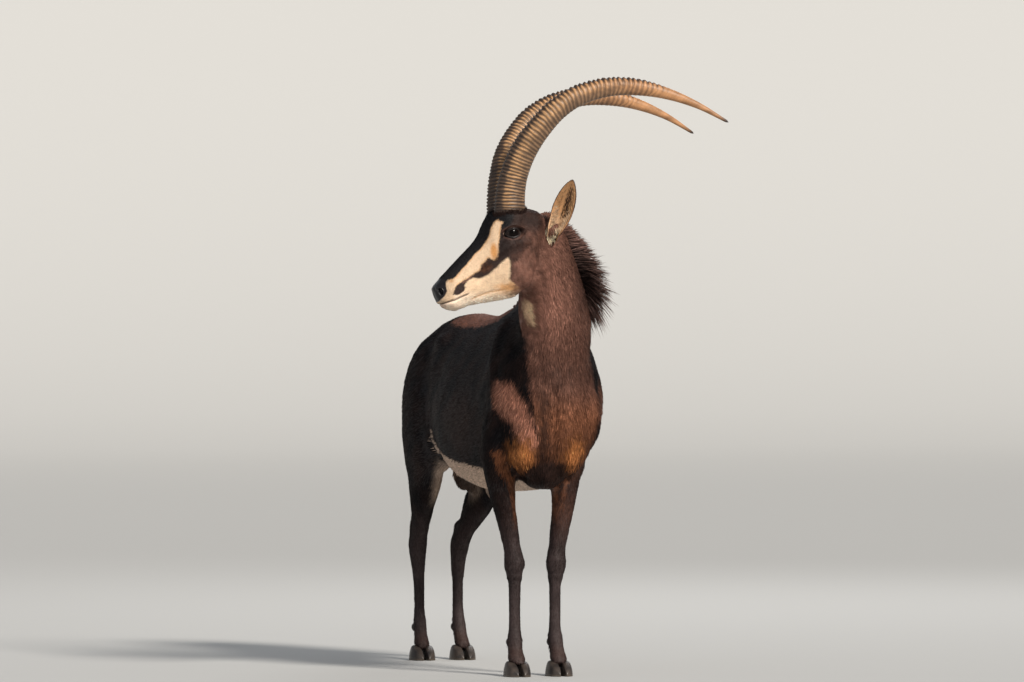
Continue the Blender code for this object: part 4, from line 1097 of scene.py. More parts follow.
# %% [markdown]
# Keratin is a hard, slightly greasy material. Its colour is worked out with the ridges, darker in the
# grooves; the shader adds fine grain and a little sheen of wear.

# %% Horn material


def point_paint(name, attribute, roughness, grain, tones, bump, specular=0.4):
    """A grained paint whose roughness wanders, as on something hard that is worn and handled."""
    paint, nodes, links, shader, place = grained_paint(name, attribute, grain, 5.0, tones, bump, specular)
    coarse = add_noise(nodes, links, place, grain / 6)
    links.new(spread(nodes, links, coarse, roughness - 0.08, roughness + 0.10), shader.inputs["Roughness"])
    return paint


horn_paint = point_paint("horn", "horn_colour", 0.46, 260.0, (0.70, 1.30), (0.30, 0.0012))


def own_unwrap(obj, places):
    """A simple unwrap from the surface's own two parameters, one pair for each point."""
    corner = np.empty(len(obj.data.loops), np.int32)
    obj.data.loops.foreach_get("vertex_index", corner)
    layer = obj.data.uv_layers.new(name="OFBake")
    layer.data.foreach_set("uv", places[corner].astype(np.float32).ravel())


SIDES = (("left", 1), ("right", -1))
for hand, side in SIDES:
    rings, t, groove, facing, back = horn_surface(side)
    points, quads, ends = closed_tube(rings)
    sheath = outward(lay_mesh("horn_sheath_" + hand, points, quads, ends))
    point_value(sheath, "horn_colour", horn_colours(t, groove, facing, back, points))
    finish_piece(sheath, horn_paint, "horn", "horn_" + hand)

# %% [markdown]
# ## Eyes and lids
# The ball sits deep in its socket and only a slit of it shows. It is nearly black, with a pupil that lies
# level, and its wet front gives the one sharp highlight of the head. The lid's edge is a thin bare rim,
# made as a tube that follows the slit over the ball.

# %% Eyeballs
EYE_SIDES, EYE_ROWS = 48, 33
IRIS = np.array((0.003, 0.0015, 0.001))
EYE_CORNER = np.array((0.026, 0.017, 0.014))


def eye_surface(side):
    """A ball: rows of angle from its outward pole times turns about it, a little flatter in front."""
    e = np.linspace(0, np.pi, EYE_ROWS + 2)[1:-1, None]
    a = np.linspace(0, 2 * np.pi, EYE_SIDES, endpoint=False)[None, :]
    forward = EYE_RADIUS * np.sin(e) * np.cos(a)
    up = EYE_RADIUS * np.sin(e) * np.sin(a)
    out = EYE_RADIUS * np.cos(e) * np.ones_like(a)
    rings = from_head(EYE_CENTRE[0] + forward, EYE_CENTRE[1] + up, side * (EYE_CENTRE[2] + out))
    return rings, forward, up, out


wet_eye, eye_nodes, eye_links, eye_shader = make_paint("wet eye")
eye_links.new(point_colour(eye_nodes, "eye_colour").outputs["Color"], eye_shader.inputs["Base Color"])
for socket, value in (("Roughness", 0.30), ("Specular IOR Level", 0.03), ("Coat Weight", 0.42),
                      ("Coat Roughness", 0.02), ("Coat IOR", 1.30)):
    eye_shader.inputs[socket].default_value = value
for hand, side in SIDES:
    rings, forward, up, out = eye_surface(side)
    points, quads, ends = closed_tube(rings)
    ball = outward(lay_mesh("eyeball_" + hand, points, quads, ends))
    f, h, o = (np.r_[value.ravel(), 0.0, 0.0] for value in (forward, up, out))
    level = np.hypot(f / 0.0085, h / 0.0042)
    iris = np.hypot(f, h) / 0.0175
    colour = mixed(EYE_CORNER, IRIS, falls(iris, 0.9, 1.05) * (o > 0))
    colour = mixed(colour, IRIS * 0.15, falls(level, 0.8, 1.1) * (o > 0))
    point_value(ball, "eye_colour", colour)
    finish_piece(ball, wet_eye, "eye", "eye_" + hand)

# %% Lid rims
LID_SEGMENTS, LID_SIDES = 72, 10


def lid_rim(side):
    """A closed tube round the slit: cosine along, sine across, laid on the ball, thinner at the corners."""
    a = np.linspace(0, 2 * np.pi, LID_SEGMENTS, endpoint=False)
    along = 1.06 * np.cos(a)
    across = 1.06 * np.sin(a) * (1 - 0.20 * np.cos(a) ** 2)
    tall = np.where(across > 0, LID_UP, LID_DOWN)
    df = along * LID_HALF_LENGTH * math.cos(LID_TILT) - across * tall * math.sin(LID_TILT)
    dh = along * LID_HALF_LENGTH * math.sin(LID_TILT) + across * tall * math.cos(LID_TILT)
    lift = np.sqrt(np.maximum(EYE_RADIUS ** 2 - df ** 2 - dh ** 2, 0.0))
    middle = from_head(EYE_CENTRE[0] + df, EYE_CENTRE[1] + dh, side * (EYE_CENTRE[2] + lift + 0.0012))
    way = unit(np.roll(middle, -1, axis=0) - np.roll(middle, 1, axis=0))
    eye_middle = from_head(EYE_CENTRE[0], EYE_CENTRE[1], side * EYE_CENTRE[2])
    out = unit(middle - eye_middle)
    beside = np.cross(way, out)
    b = np.linspace(0, 2 * np.pi, LID_SIDES, endpoint=False)[None, :]
    thick = (0.0016 + 0.0010 * np.sin(a) ** 2)[:, None]
    rings = middle[:, None] + out[:, None] * (thick * np.cos(b))[..., None] \
        + beside[:, None] * (thick * np.sin(b))[..., None]
    return rings, middle, out


lid_paint, lid_nodes, lid_links, lid_shader = make_paint("bare lid")
lid_noise = add_noise(lid_nodes, lid_links, lid_nodes.new("ShaderNodeTexCoord").outputs["Object"], 900.0)
lid_ramp = lid_nodes.new("ShaderNodeMix")
lid_ramp.data_type = "RGBA"
lid_ramp.inputs["A"].default_value = (0.006, 0.004, 0.004, 1)
lid_ramp.inputs["B"].default_value = (0.020, 0.012, 0.010, 1)
lid_links.new(lid_noise, lid_ramp.inputs["Factor"])
lid_links.new(lid_ramp.outputs["Result"], lid_shader.inputs["Base Color"])
lid_shader.inputs["Roughness"].default_value = 0.38
for hand, side in SIDES:
    rings, _, _ = lid_rim(side)
    count, sides = rings.shape[:2]
    quads = tube_faces(count + 1, sides) % (count * sides)
    rim = outward(lay_mesh("lid_rim_" + hand, rings.reshape(-1, 3), quads))
    finish_piece(rim, lid_paint, "coat")

# %% [markdown]
# ## Ears
# A long leaf of gristle, rolled into a tube at its root and opening to a cup that ends in a point. Inside
# it is tan with a dark brush along the middle; a thin black edge runs round it. The shape is a rolled
# strip: arcs of a circle across, whose radius and roll change along the ear, with an outer and an inner
# face.

# %% Ear surfaces
EARS = {"left": ((-0.058, -0.078, 0.052), (-0.088, 0.086, 0.160), (0.55, -0.12, 0.78)),
        "right": ((-0.058, -0.074, -0.052), (-0.130, -0.010, -0.205), (0.70, -0.15, -0.62))}
EAR_STEPS, EAR_ACROSS = 46, 33
EAR_HALF_WIDTH, EAR_WALL = 0.0405, 0.0032
EAR_TAN = np.array((0.560, 0.290, 0.130))


def ear_frame(base, tip, open_way):
    """Root, length vector, and the directions the cup opens to and across it, all in place."""
    root = from_head(*base)
    length = from_head(*tip) - root
    way = length / np.linalg.norm(length)
    opening = head_way(*open_way)
    opening = opening - way * (way @ opening)
    opening = opening / np.linalg.norm(opening)
    return root, length, way, opening, np.cross(way, opening)


def ear_layers(base, tip, open_way):
    """Outer and inner faces (steps, across, 3): middle line plus radius times sine and cosine of the roll."""
    root, length, way, opening, across = ear_frame(base, tip, open_way)
    t = np.linspace(-0.10, 1, EAR_STEPS)[:, None]
    s = np.linspace(-1, 1, EAR_ACROSS)[None, :]
    c = np.clip(t, 0, 1)
    wide = 0.46 + 0.54 * np.sin(np.pi * np.minimum(0.5, 0.92 * c))
    half = EAR_HALF_WIDTH * wide * (1 - c ** 3.2) ** 0.8
    half = np.maximum(half, 0.0016)
    roll = np.radians(26 + 38 * (1 - c) + 42 * falls(c, 0.0, 0.30))
    radius = half / np.sin(np.minimum(roll, np.pi / 2))
    wall = EAR_WALL * (1 - 0.45 * c) * (1 - 0.45 * np.abs(s) ** 3)
    middle = root + length * t[..., None] + opening * (radius - 0.012 * np.sin(np.pi * c))[..., None]
    ripple = 0.0016 * np.sin(7 * c + 2) * np.abs(s) ** 2
    out_way = across * np.sin(s * roll)[..., None] - opening * np.cos(s * roll)[..., None]
    outer = middle + out_way * (radius + wall + ripple)[..., None]
    inner = middle + out_way * (radius - wall + ripple)[..., None]
    return outer, inner, t + 0 * s, s + 0 * t, way, opening


def ear_uv(t, s, band):
    """Places in the ear's own unwrap: along it, and across it in the inner band (1) or the outer one (-1)."""
    return np.stack([0.05 + 0.80 * np.clip(t, 0, 1), 0.5 + 0.22 * s + 0.24 * band], axis=1)


def ear_colours(t, s, within, points):
    """Tan inside with a dark brush, brown outside, a thin black edge."""
    blotch = wander(points, 0.010, 31)
    colour = np.where(within[:, None] > 0.5, EAR_TAN, BROWN * 1.2)
    colour = mixed(colour, CREAM, 0.45 * (within > 0.5) * falls(t, 0.15, 0.42) * smooth(-s, -0.6, 0.2))
    brush = spot(t, s, (0.62, 0.14), (0.32, 0.30)) + 0.60 * blotch
    colour = mixed(colour, BROWN * 0.7, 0.75 * (within > 0.5) * falls(brush, 0.30, 0.95))
    colour = mixed(colour, BROWN * 0.6, smooth(np.abs(s), 0.92, 0.98) * smooth(t, 0.25, 0.6))
    colour = mixed(colour, BLACK_BROWN, smooth(t, 0.95, 1.0))
    return colour * (1 + 0.15 * blotch[:, None])


ear_paint = point_paint("ear skin", "coat_colour", 0.66, 380.0, (0.70, 1.30), (0.35, 0.0015), 0.25)
ear_roots = {}
for hand, place in EARS.items():
    outer, inner, t, s, way, opening = ear_layers(*place)
    rings = np.concatenate([outer, inner[:, ::-1]], axis=1)
    points, quads, ends = closed_tube(rings)
    ear_t, ear_s, within = (np.concatenate(pair, axis=1).ravel() for pair in
                            ((t, t), (s, s[:, ::-1]), (0 * t, 0 * t + 1)))
    ear_t, ear_s, within = np.r_[ear_t, -0.1, 1.0], np.r_[ear_s, 0, 0], np.r_[within, 0, 0]
    ear = outward(lay_mesh("ear_cup_" + hand, points, quads, ends))
    point_value(ear, "coat_colour", ear_colours(ear_t, ear_s, within, points))
    own_unwrap(ear, ear_uv(ear_t, ear_s, np.where(within > 0.5, 1, -1)))
    finish_piece(ear, ear_paint, "coat", "ear_" + hand)
    ear_roots[hand] = (outer, inner, t, s, way, opening)

# %% [markdown]
# ## Hooves
# An antelope walks on the tips of two toes. Each claw is a flat-soled wedge of dark horn, straight on the
# inside and rounded outside, with two small dew claws behind the fetlock. A closed profile of sole, wall
# and top is carried from heel to toe, and shrinks to a rounded point.

# %% Claws and dew claws
HOOF_LENGTH, HOOF_WIDTH, HOOF_HEIGHT = 0.098, 0.043, 0.052
# from the places that hooves and mane are drawn at to those of the frame
SHIFT_X, SHIFT_Y = -0.0449, -0.5958
CLAW_STEPS, CLAW_SPAN = 44, 6
HOOF_DARK = np.array((0.020, 0.016, 0.015))
HOOF_GREY = np.array((0.060, 0.045, 0.036))
HOOF_DUST = np.array((0.110, 0.085, 0.062))
# pair, middle between its two legs, place of the sole along the body, place of the dew claws out and along
FEET = (("front", -0.014, 0.124, 0.071, 0.158), ("hind", -0.040, 1.232, 0.071, 1.268))


def claw_surface(x, y, side, outer_lane):
    """Profile of sole, outer wall, top and inner wall, scaled along the claw by sine and power curves."""
    t = np.linspace(0, 1, CLAW_STEPS)
    toe = np.sqrt(np.clip(1 - np.clip((t - 0.80) / 0.20, 0, 1) ** 2, 0.004, 1))
    heel = np.sqrt(np.clip(1 - np.clip((0.10 - t) / 0.10, 0, 1) ** 2, 0.05, 1))
    swell = 0.80 + 0.34 * np.sin(np.pi * (0.15 + 0.62 * t))
    width = HOOF_WIDTH * swell * (1 - 0.50 * t ** 3) / 1.14 * toe * heel
    arch = 0.74 + 0.30 * np.sin(np.pi * np.minimum(1.0, 0.2 + 0.75 * t))
    top = HOOF_HEIGHT * arch * (1 - 0.60 * t ** 2.2)
    top = top * (0.35 + 0.65 * toe) * (0.6 + 0.4 * heel)
    flip = side * outer_lane
    inner = x + flip * (0.0022 + 0.004 * t + 0.006 * (1 - toe))
    # each row of the profile: share of the width out from the inner wall, share of the height
    sole = np.stack([np.linspace(0.05, 0.95, 8), np.full(8, 0.0)], axis=1)
    sole[1:-1, 1] = 0.045
    wall = curve_through([(0.985, 0.03), (0.97, 0.25), (0.92, 0.55), (0.76, 0.92), (0.42, 1.0), (0.10, 0.92),
                          (0.03, 0.50), (0.00, 0.03)], CLAW_SPAN)
    profile = np.concatenate([sole, wall])
    px = inner[:, None] + flip * profile[None, :, 0] * width[:, None]
    pz = profile[None, :, 1] * top[:, None]
    growth = 0.0005 * np.sin(pz * 2 * np.pi / 0.0065) * smooth(profile[None, :, 0], 0.5, 0.9)
    px = px + flip * growth
    ahead = y + 0.040 - HOOF_LENGTH * t
    py = ahead[:, None] - 0.10 * pz * (1 - t[:, None])
    return np.stack([px, py, pz], axis=-1)


def dewclaw_surface(x, y, z):
    """A small flat cone, leaning back: sines and cosines of two angles, drawn to a blunt point below."""
    e = np.linspace(-np.pi / 2, np.pi / 2, 16)[1:-1, None]
    a = np.linspace(0, 2 * np.pi, 20, endpoint=False)[None, :]
    bx, by = 0.0105 * np.cos(e) * np.cos(a), 0.0125 * np.cos(e) * np.sin(a)
    bz = 0.0215 * np.sin(e) * np.ones_like(a)
    taper = 1 - 0.55 * smooth(-bz, -0.010, 0.0215)
    bx, by = bx * taper, by * taper
    turn = math.radians(-48)
    return np.stack([x + bx, y + by * math.cos(turn) - bz * math.sin(turn),
                     z + by * math.sin(turn) + bz * math.cos(turn)], axis=-1)


def join_closed(ring_sets):
    """Put several closed tubes into one set of points, quads and triangles."""
    parts = [closed_tube(rings) for rings in ring_sets]
    firsts = np.cumsum([0] + [len(part[0]) for part in parts])
    return (np.concatenate([part[0] for part in parts]),
            np.concatenate([part[1] + first for part, first in zip(parts, firsts)]),
            np.concatenate([part[2] + first for part, first in zip(parts, firsts)]))


claws, dewclaws = [], []
claw_nodes, dewclaw_nodes = [], []
for where, middle, foot_y, knuckle_x, knuckle_y in FEET:
    for hand, side in SIDES:
        for lane, outer_lane in (("outer", 1), ("inner", -1)):
            claws.append(claw_surface(middle + SHIFT_X + side * 0.073, foot_y + SHIFT_Y, side, outer_lane))
            dewclaws.append(dewclaw_surface(middle + SHIFT_X + side * (knuckle_x + outer_lane * 0.0150),
                                            knuckle_y + 0.017 + SHIFT_Y, 0.108))
            claw_nodes.append("hoof_%s_%s_%s" % (where, hand, lane))
            dewclaw_nodes.append("dewclaw_%s_%s_%s" % (where, hand, lane))
hoof_paint = point_paint("hoof horn", "hoof_colour", 0.42, 240.0, (0.65, 1.35), (0.22, 0.0010))
for name, ring_sets, nodes in (("claws", claws, claw_nodes), ("dew_claws", dewclaws, dewclaw_nodes)):
    points, quads, ends = join_closed(ring_sets)
    piece = outward(lay_mesh(name, points, quads, ends))
    grime = 0.5 + 0.5 * wander(points, 0.03, 41)
    colour = mixed(HOOF_DARK, HOOF_GREY, grime)
    colour = mixed(colour, HOOF_DUST, 0.6 * falls(points[:, 2], 0.0, 0.010))
    point_value(piece, "hoof_colour", np.clip(colour, 0, 1))
    finish_piece(piece, hoof_paint, "hoof", *nodes)

# %% [markdown]
# ## Roots of the coat
# Every tuft grows from a point of the skin. Faces are drawn by area and by how dense the hair is there,
# then a place is drawn inside each face. The draw steps evenly through the skin, which spreads roots
# better than pure chance.

# %% Draw roots on the skin
melted.calc_loop_triangles()
corner_loops = np.empty(len(melted.loop_triangles) * 3, np.int32)
melted.loop_triangles.foreach_get("loops", corner_loops)
loop_uv = np.empty(len(melted.loops) * 2, np.float32)
melted.uv_layers["OFBake"].data.foreach_get("uv", loop_uv)
face_uv = loop_uv.reshape(-1, 2)[corner_loops.reshape(-1, 3)]
face_corners = skin_points[skin_triangles]
face_middles = face_corners.mean(axis=1)
face_areas = 0.5 * np.linalg.norm(np.cross(face_corners[:, 1] - face_corners[:, 0],
                                           face_corners[:, 2] - face_corners[:, 0]), axis=1)
print("skin area", round(face_areas.sum(), 3), "square metres")


def scatter(count, density, seed):
    """Roots, normals and unwrap places of count tufts; density is a weight for each face of the skin."""
    draw = np.random.default_rng(seed)
    weight = np.cumsum(face_areas * density)
    picks = np.searchsorted(weight / weight[-1], (np.arange(count) + draw.random(count)) / count)
    picks = np.minimum(picks, len(face_areas) - 1)
    root_share = np.sqrt(draw.random(count))
    other = draw.random(count)
    shares = np.stack([1 - root_share, root_share * (1 - other), root_share * other], axis=1)[..., None]
    normals = unit((skin_normals[skin_triangles[picks]] * shares).sum(axis=1))
    return (face_corners[picks] * shares).sum(axis=1), normals, (face_uv[picks] * shares).sum(axis=1), draw


# %% [markdown]
# ## Lie of the coat
# Hair runs back along the trunk, down the legs, down the neck and up the nose. The directions are blended
# from region to region, laid into the skin and turned a little by a slow wave, so that it lies in soft
# drifts.

# %% Work out the lie of the coat


def blend_way(way, towards, share):
    """Turn directions towards another one by a share for each point."""
    return way * (1 - share[:, None]) + unit(np.array(towards, float)) * share[:, None]


def lie_of_coat(points, normals):
    """Unit direction along the skin that the hair points to."""
    _, y, z = points.T
    forward, up, _ = on_head(points)
    way = np.tile(unit(np.array((0.0, 1.0, -0.32))), (len(points), 1))
    way = blend_way(way, (0.0, 1.0, -0.05), smooth(z, 1.04, 1.16))
    way = blend_way(way, (0.0, 1.0, 0.0), falls(z, 0.70, 0.78))
    way = blend_way(way, (0.0, 0.6, -0.8), smooth(-y, 0.16, 0.34) * falls(z, 1.12, 1.24))
    way = blend_way(way, (0.0, 0.5, -0.85), smooth(y, 0.34, 0.50))
    way = blend_way(way, (0.0, 0.15, -1.0), falls(z, 0.54, 0.72))
    neck = smooth(-y, 0.34, 0.46) * smooth(z, 0.96, 1.08)
    way = blend_way(way, (0.13, 0.66, -0.72), neck)
    way = blend_way(way, (0.30, 0.34, -0.88), neck * smooth(z, 1.12, 1.36))
    way = blend_way(way, (0.0, 0.15, -1.0), smooth(-y, 0.44, 0.54) * smooth(z, 0.60, 0.70)
                    * falls(z, 1.06, 1.24))
    head = head_share(points, -0.05, 0.02)
    way = blend_way(way, head_way(-0.80, -0.52, 0.0), head)
    way = blend_way(way, head_way(-0.82, 0.20, 0.0), head * smooth(-up, 0.22, 0.30))
    nose_line = smooth(forward + 0.8 * up, 0.02, 0.09)
    way = blend_way(way, head_way(-0.70, 0.62, 0.0), head * nose_line)
    way = blend_way(way, head_way(-0.60, 0.50, 0.0), head * smooth(up, -0.07, -0.03))
    way = blend_way(way, (0.0, 0.0, -1.0), smooth(y, 0.745, 0.775) * falls(z, 1.04, 1.12))
    turn = 0.22 * wander(points, 0.07, 51) + 0.10 * wander(points, 0.02, 52)
    way = unit(way - normals * (way * normals).sum(axis=1)[:, None])
    return unit(way + np.cross(normals, way) * turn[:, None])


# %% [markdown]
# ## Tufts and locks
# No render can carry a million hairs as solids, but small pointed tufts read as a coat. A flat tuft is a
# sliver with two root corners, a tip and a keel under the skin: four faces. A long lock is three-sided
# and bends: four rings and a tip. All of a region's tufts are worked out at once and laid into one mesh.

# %% Build tufts and locks
PATCH = 0.003
SLIVER_FACES = np.array([(0, 1, 2), (1, 0, 3), (2, 1, 3), (0, 2, 3)])
SLIVER_PATCH = np.array([(-0.4, -0.4), (0.4, -0.4), (0.0, 0.5), (0.0, -0.1)])
TURNS = ((0, 1), (1, 2), (2, 0))
LOCK_WALL = [(k * 3 + a, k * 3 + b, k * 3 + 3 + b) for k in range(3) for a, b in TURNS] \
    + [(k * 3 + a, k * 3 + 3 + b, k * 3 + 3 + a) for k in range(3) for a, b in TURNS]
LOCK_FACES = np.array(LOCK_WALL + [(0, 2, 1)] + [(9 + a, 9 + b, 12) for a, b in TURNS])
LOCK_STEPS = np.array((0.0, 0.30, 0.62, 0.86))
LOCK_SWELL = np.array((0.70, 1.0, 0.80, 0.42))
LOCK_CORNERS = np.radians(np.array((90.0, 210.0, 330.0)))


def hair_piece(name, points, faces, normals, colours, root_uv, patch, slot_name, nodes=()):
    """A region's tufts as a mesh: points (n, k, 3), one tuft's faces, its patch (k, 2) in the unwrap."""
    count, each = points.shape[:2]
    triangles = (faces[None] + each * np.arange(count)[:, None, None]).reshape(-1, 3)
    piece = lay_mesh(name, points.reshape(-1, 3), triangles=triangles, normals=normals.reshape(-1, 3))
    point_value(piece, "coat_colour", np.clip(colours.reshape(-1, 3), 0, 1))
    own_unwrap(piece, (root_uv[:, None] + PATCH * patch[None]).reshape(-1, 2))
    return finish_piece(piece, hair_paint, slot_name, *nodes)


def sliver_shape(places, way, beside, normals, length, half, lift, depth, sunk=0.0):
    """Two root corners, a tip and a keel for each flat tuft, as points (n, 4, 3)."""
    low = places - normals * sunk
    return np.stack([low + beside * half, low - beside * half, places + way * length + normals * lift,
                     places + way * length * 0.3 - normals * depth], axis=1)


def slivers(name, roots, length, width, lift, tone_spread=0.22):
    """Flat tufts: root corners half a width to each side, a tip a length along and a lift up, a keel."""
    places, normals, root_uv, draw = roots
    count = len(places)
    way = lie_of_coat(places, normals)
    beside = np.cross(normals, way)
    way = unit(way + beside * draw.normal(0, 0.10, count)[:, None])
    beside = np.cross(normals, way)
    length = (length * draw.uniform(0.70, 1.30, count))[:, None]
    half = (width * draw.uniform(0.7, 1.3, count) / 2)[:, None]
    lift = (lift * draw.uniform(0.4, 1.4, count))[:, None]
    points = sliver_shape(places, way, beside, normals, length, half, lift, 0.0012, 0.0003)
    lean = normals + way * 0.15 * draw.normal(0, 1, count)[:, None]
    shading = unit(np.stack([lean + beside * 0.32, lean - beside * 0.32, lean + way * 0.10, lean], axis=1))
    stray = (0.0035 - 0.0023 * head_share(places))[:, None]
    base = markings_and_painted_light(places + stray * draw.normal(size=places.shape))
    tone = np.exp(draw.normal(0, tone_spread, count) + 0.14 * wander(places, 0.018, 61))[:, None]
    root_colour = base * tone * 0.72
    colours = np.stack([root_colour, root_colour, base * tone * 1.12, root_colour], axis=1)
    return hair_piece(name, points, SLIVER_FACES, shading, colours, root_uv, SLIVER_PATCH, "coat")


def varied(colour, draw, spread_of_tone, count):
    """The colour of each of count locks, a little lighter or darker by chance."""
    return np.asarray(colour) * np.exp(draw.normal(0, spread_of_tone, count))[:, None]


def locks(name, places, normals, root_uv, way, bend, length, width, colours, draw, slot_name="coat", nodes=(),
          flat=0.5, tip_colours=None, wave=0.0):
    """Long locks: a middle line that leaves along way and bends by the square of how far it has gone."""
    count = len(places)
    length = np.broadcast_to(length, (count,))[:, None, None]
    s = LOCK_STEPS[None, :, None]
    curl = unit(np.cross(way, normals) + 1e-6)[:, None]
    ripple = wave * length * np.sin(2.2 * np.pi * s + draw.uniform(0, 6.28, count)[:, None, None])
    middle = places[:, None] + way[:, None] * s * length + bend[:, None] * s ** 2 * length + curl * ripple
    tip = places + (way + bend) * length[:, 0]
    run = unit(np.concatenate([middle[:, 1:], tip[:, None]], axis=1) - middle)
    outward_way = unit(normals[:, None] - run * (normals[:, None] * run).sum(axis=-1, keepdims=True) + 1e-9)
    beside = np.cross(outward_way, run)
    radius = np.broadcast_to(width, (count,))[:, None] / 2 * LOCK_SWELL
    a = LOCK_CORNERS
    rings = middle[:, :, None] + beside[:, :, None] * (radius[..., None] * np.cos(a))[..., None] \
        + outward_way[:, :, None] * (flat * radius[..., None] * np.sin(a))[..., None]
    points = np.concatenate([rings.reshape(count, 12, 3), tip[:, None]], axis=1)
    round_way = beside[:, :, None] * (0.8 * np.cos(a))[:, None]
    round_way = round_way + outward_way[:, :, None] * (0.5 + 0.7 * np.sin(a))[:, None]
    shading = unit(np.concatenate([round_way.reshape(count, 12, 3), outward_way[:, -1:]], axis=1))
    tip_colours = colours * 1.15 if tip_colours is None else tip_colours
    share = np.repeat(np.array((0.0, 0.3, 0.7, 0.95)), 3)[None, :, None]
    shade = np.repeat(np.array((0.60, 0.85, 1.0, 1.0)), 3)[None, :, None]
    tints = (colours[:, None] * (1 - share) + tip_colours[:, None] * share) * shade
    tints = np.concatenate([tints, tip_colours[:, None]], axis=1)
    wall_patch = np.stack([0.4 * np.cos(np.tile(a, 4)), np.repeat((-0.4, -0.15, 0.1, 0.35), 3)], axis=1)
    patch = np.concatenate([wall_patch, [(0.0, 0.5)]])
    return hair_piece(name, points, LOCK_FACES, shading, tints, root_uv, patch, slot_name, nodes)


# %% [markdown]
# ## The short coat
# The bull's summer coat is sleek. Tufts are a centimetre and a half on the trunk, longer and coarser down
# the neck and breast, and shrink to a few millimetres on the face and on the feet. They keep off the bare
# places: the slit of the eye, the nose pad, the lips and the hooves.

# %% Regions and sizes of the short coat
mf, mu, ml = on_head(face_middles)
mx, my, mz = face_middles.T
slit = np.hypot(*lid_place(mf, mu))
bare = (nose_share(face_middles) > 0.2) | ((slit < 1.45) & (np.abs(ml) > 0.045) & (np.abs(mf - 0.1) < 0.06)) \
    | ((from_line(mf, mu, MOUTH_LINE)[0] < 0.0035) & (mf > 0.20)) | (mz < 0.036) \
    | ((np.hypot(mf - NOSTRIL[0], mu - NOSTRIL[1]) < 0.014) & (np.abs(ml) > 0.012))
on_the_head = (mf > -0.045) & (mu > -0.42) & (np.abs(ml) < 0.17)
on_neck = ~on_the_head & (my < -0.34) & (mz > 0.66)
on_legs = ~on_the_head & (mz < 0.62)
on_trunk = ~on_the_head & ~on_neck & ~on_legs
print("bare share of the skin", round(face_areas[bare].sum() / face_areas.sum(), 4))
TRUNK_LONG, TRUNK_WIDE, TRUNK_LIFT = 0.0165, 0.0034, 0.0018
FACE_LONG, FACE_WIDE, FACE_LIFT = 0.0065, 0.0016, 0.0009


def short_coat(name, count, where, seed, tone_spread=0.22):
    """A region's flat tufts, with length, width and lift taken from where each root is."""
    roots = scatter(count, where * ~bare, seed)
    places = roots[0]
    forward = on_head(places)[0]
    _, y, z = places.T
    face = head_share(places, -0.05, 0.03)
    lower_leg = falls(z, 0.30, 0.60)
    neck_share = smooth(-y, 0.36, 0.48) * smooth(z, 0.62, 0.74)
    length = TRUNK_LONG - 0.0075 * lower_leg - 0.0025 * falls(z, 0.05, 0.25) + 0.0070 * neck_share
    length = length * (1 - face) + face * (FACE_LONG + 0.0035 * falls(forward, 0.02, 0.14))
    width = TRUNK_WIDE * (1 - face) + FACE_WIDE * face - 0.0010 * lower_leg
    lift = TRUNK_LIFT * (1 - face) + FACE_LIFT * face + 0.0012 * neck_share * (1 - face) - 0.0006 * lower_leg
    return slivers(name, roots, length, width, lift, tone_spread)


# %% Lay the short coat
short_coat("coat_head", 47000, on_the_head, 101, tone_spread=0.16)
short_coat("coat_neck", 47500, on_neck, 102, tone_spread=0.30)
short_coat("coat_trunk_left", 44000, on_trunk & (mx > 0.0), 103)
short_coat("coat_trunk_right", 42000, on_trunk & (mx <= 0.0), 104)
short_coat("coat_fore_legs", 24000, on_legs & (my < 0.1), 105)
short_coat("coat_hind_legs", 34000, on_legs & (my >= 0.1), 106)

# %% [markdown]
# ## Mane
# Stiff dark hair stands along the crest from between the ears to the withers. Half way down the neck it
# is longest and falls over; the drawn table says, at each share of the crest, how long it is and where it
# points. Locks are rooted in a strip of skin two fingers wide.

# %% Grow the mane
MANE_PATH = MM * np.array([(-40, -66, 1553), (-23, -61, 1540), (15, -49, 1503), (42, -26, 1449),
                           (63, 8, 1402), (79, 52, 1362), (89, 108, 1330), (89, 139, 1320), (85, 210, 1302),
                           (52, 310, 1298), (66, 430, 1284), (66, 580, 1232)]) \
    + np.array((SHIFT_X, SHIFT_Y, 0.0))
MANE_HUE = np.array((0.085, 0.052, 0.045))
DOWN = np.array((0.0, 0.0, -1.0))
# each row: share of the crest, length of the hair, and the direction it points to
MANE = np.array([(0.00, 0.012, 0.70, 0.00, 0.60), (0.18, 0.036, 0.88, 0.00, 0.25),
                 (0.33, 0.082, 0.95, 0.05, 0.02), (0.45, 0.116, 0.92, 0.08, -0.25),
                 (0.55, 0.146, 0.74, 0.08, -0.62), (0.62, 0.178, 0.56, 0.04, -0.90),
                 (0.69, 0.150, 0.56, 0.22, -0.72), (0.78, 0.108, 0.56, 0.40, -0.28),
                 (0.87, 0.072, 0.44, 0.42, 0.32), (0.94, 0.040, 0.24, 0.42, 0.70),
                 (1.00, 0.010, 0.05, 0.45, 0.85)])


def along_path(points, path):
    """Distance of each point from a line in space, and how far along it (0 to 1) the nearest place is."""
    best = np.full(len(points), 9.0)
    share = np.zeros(len(points))
    for k in range(len(path) - 1):
        step = path[k + 1] - path[k]
        t = np.clip(((points - path[k]) @ step) / (step @ step), 0, 1)
        gap = np.linalg.norm(points - path[k] - t[:, None] * step, axis=1)
        nearer = gap < best
        best = np.where(nearer, gap, best)
        share = np.where(nearer, (k + t) / (len(path) - 1), share)
    return best, share


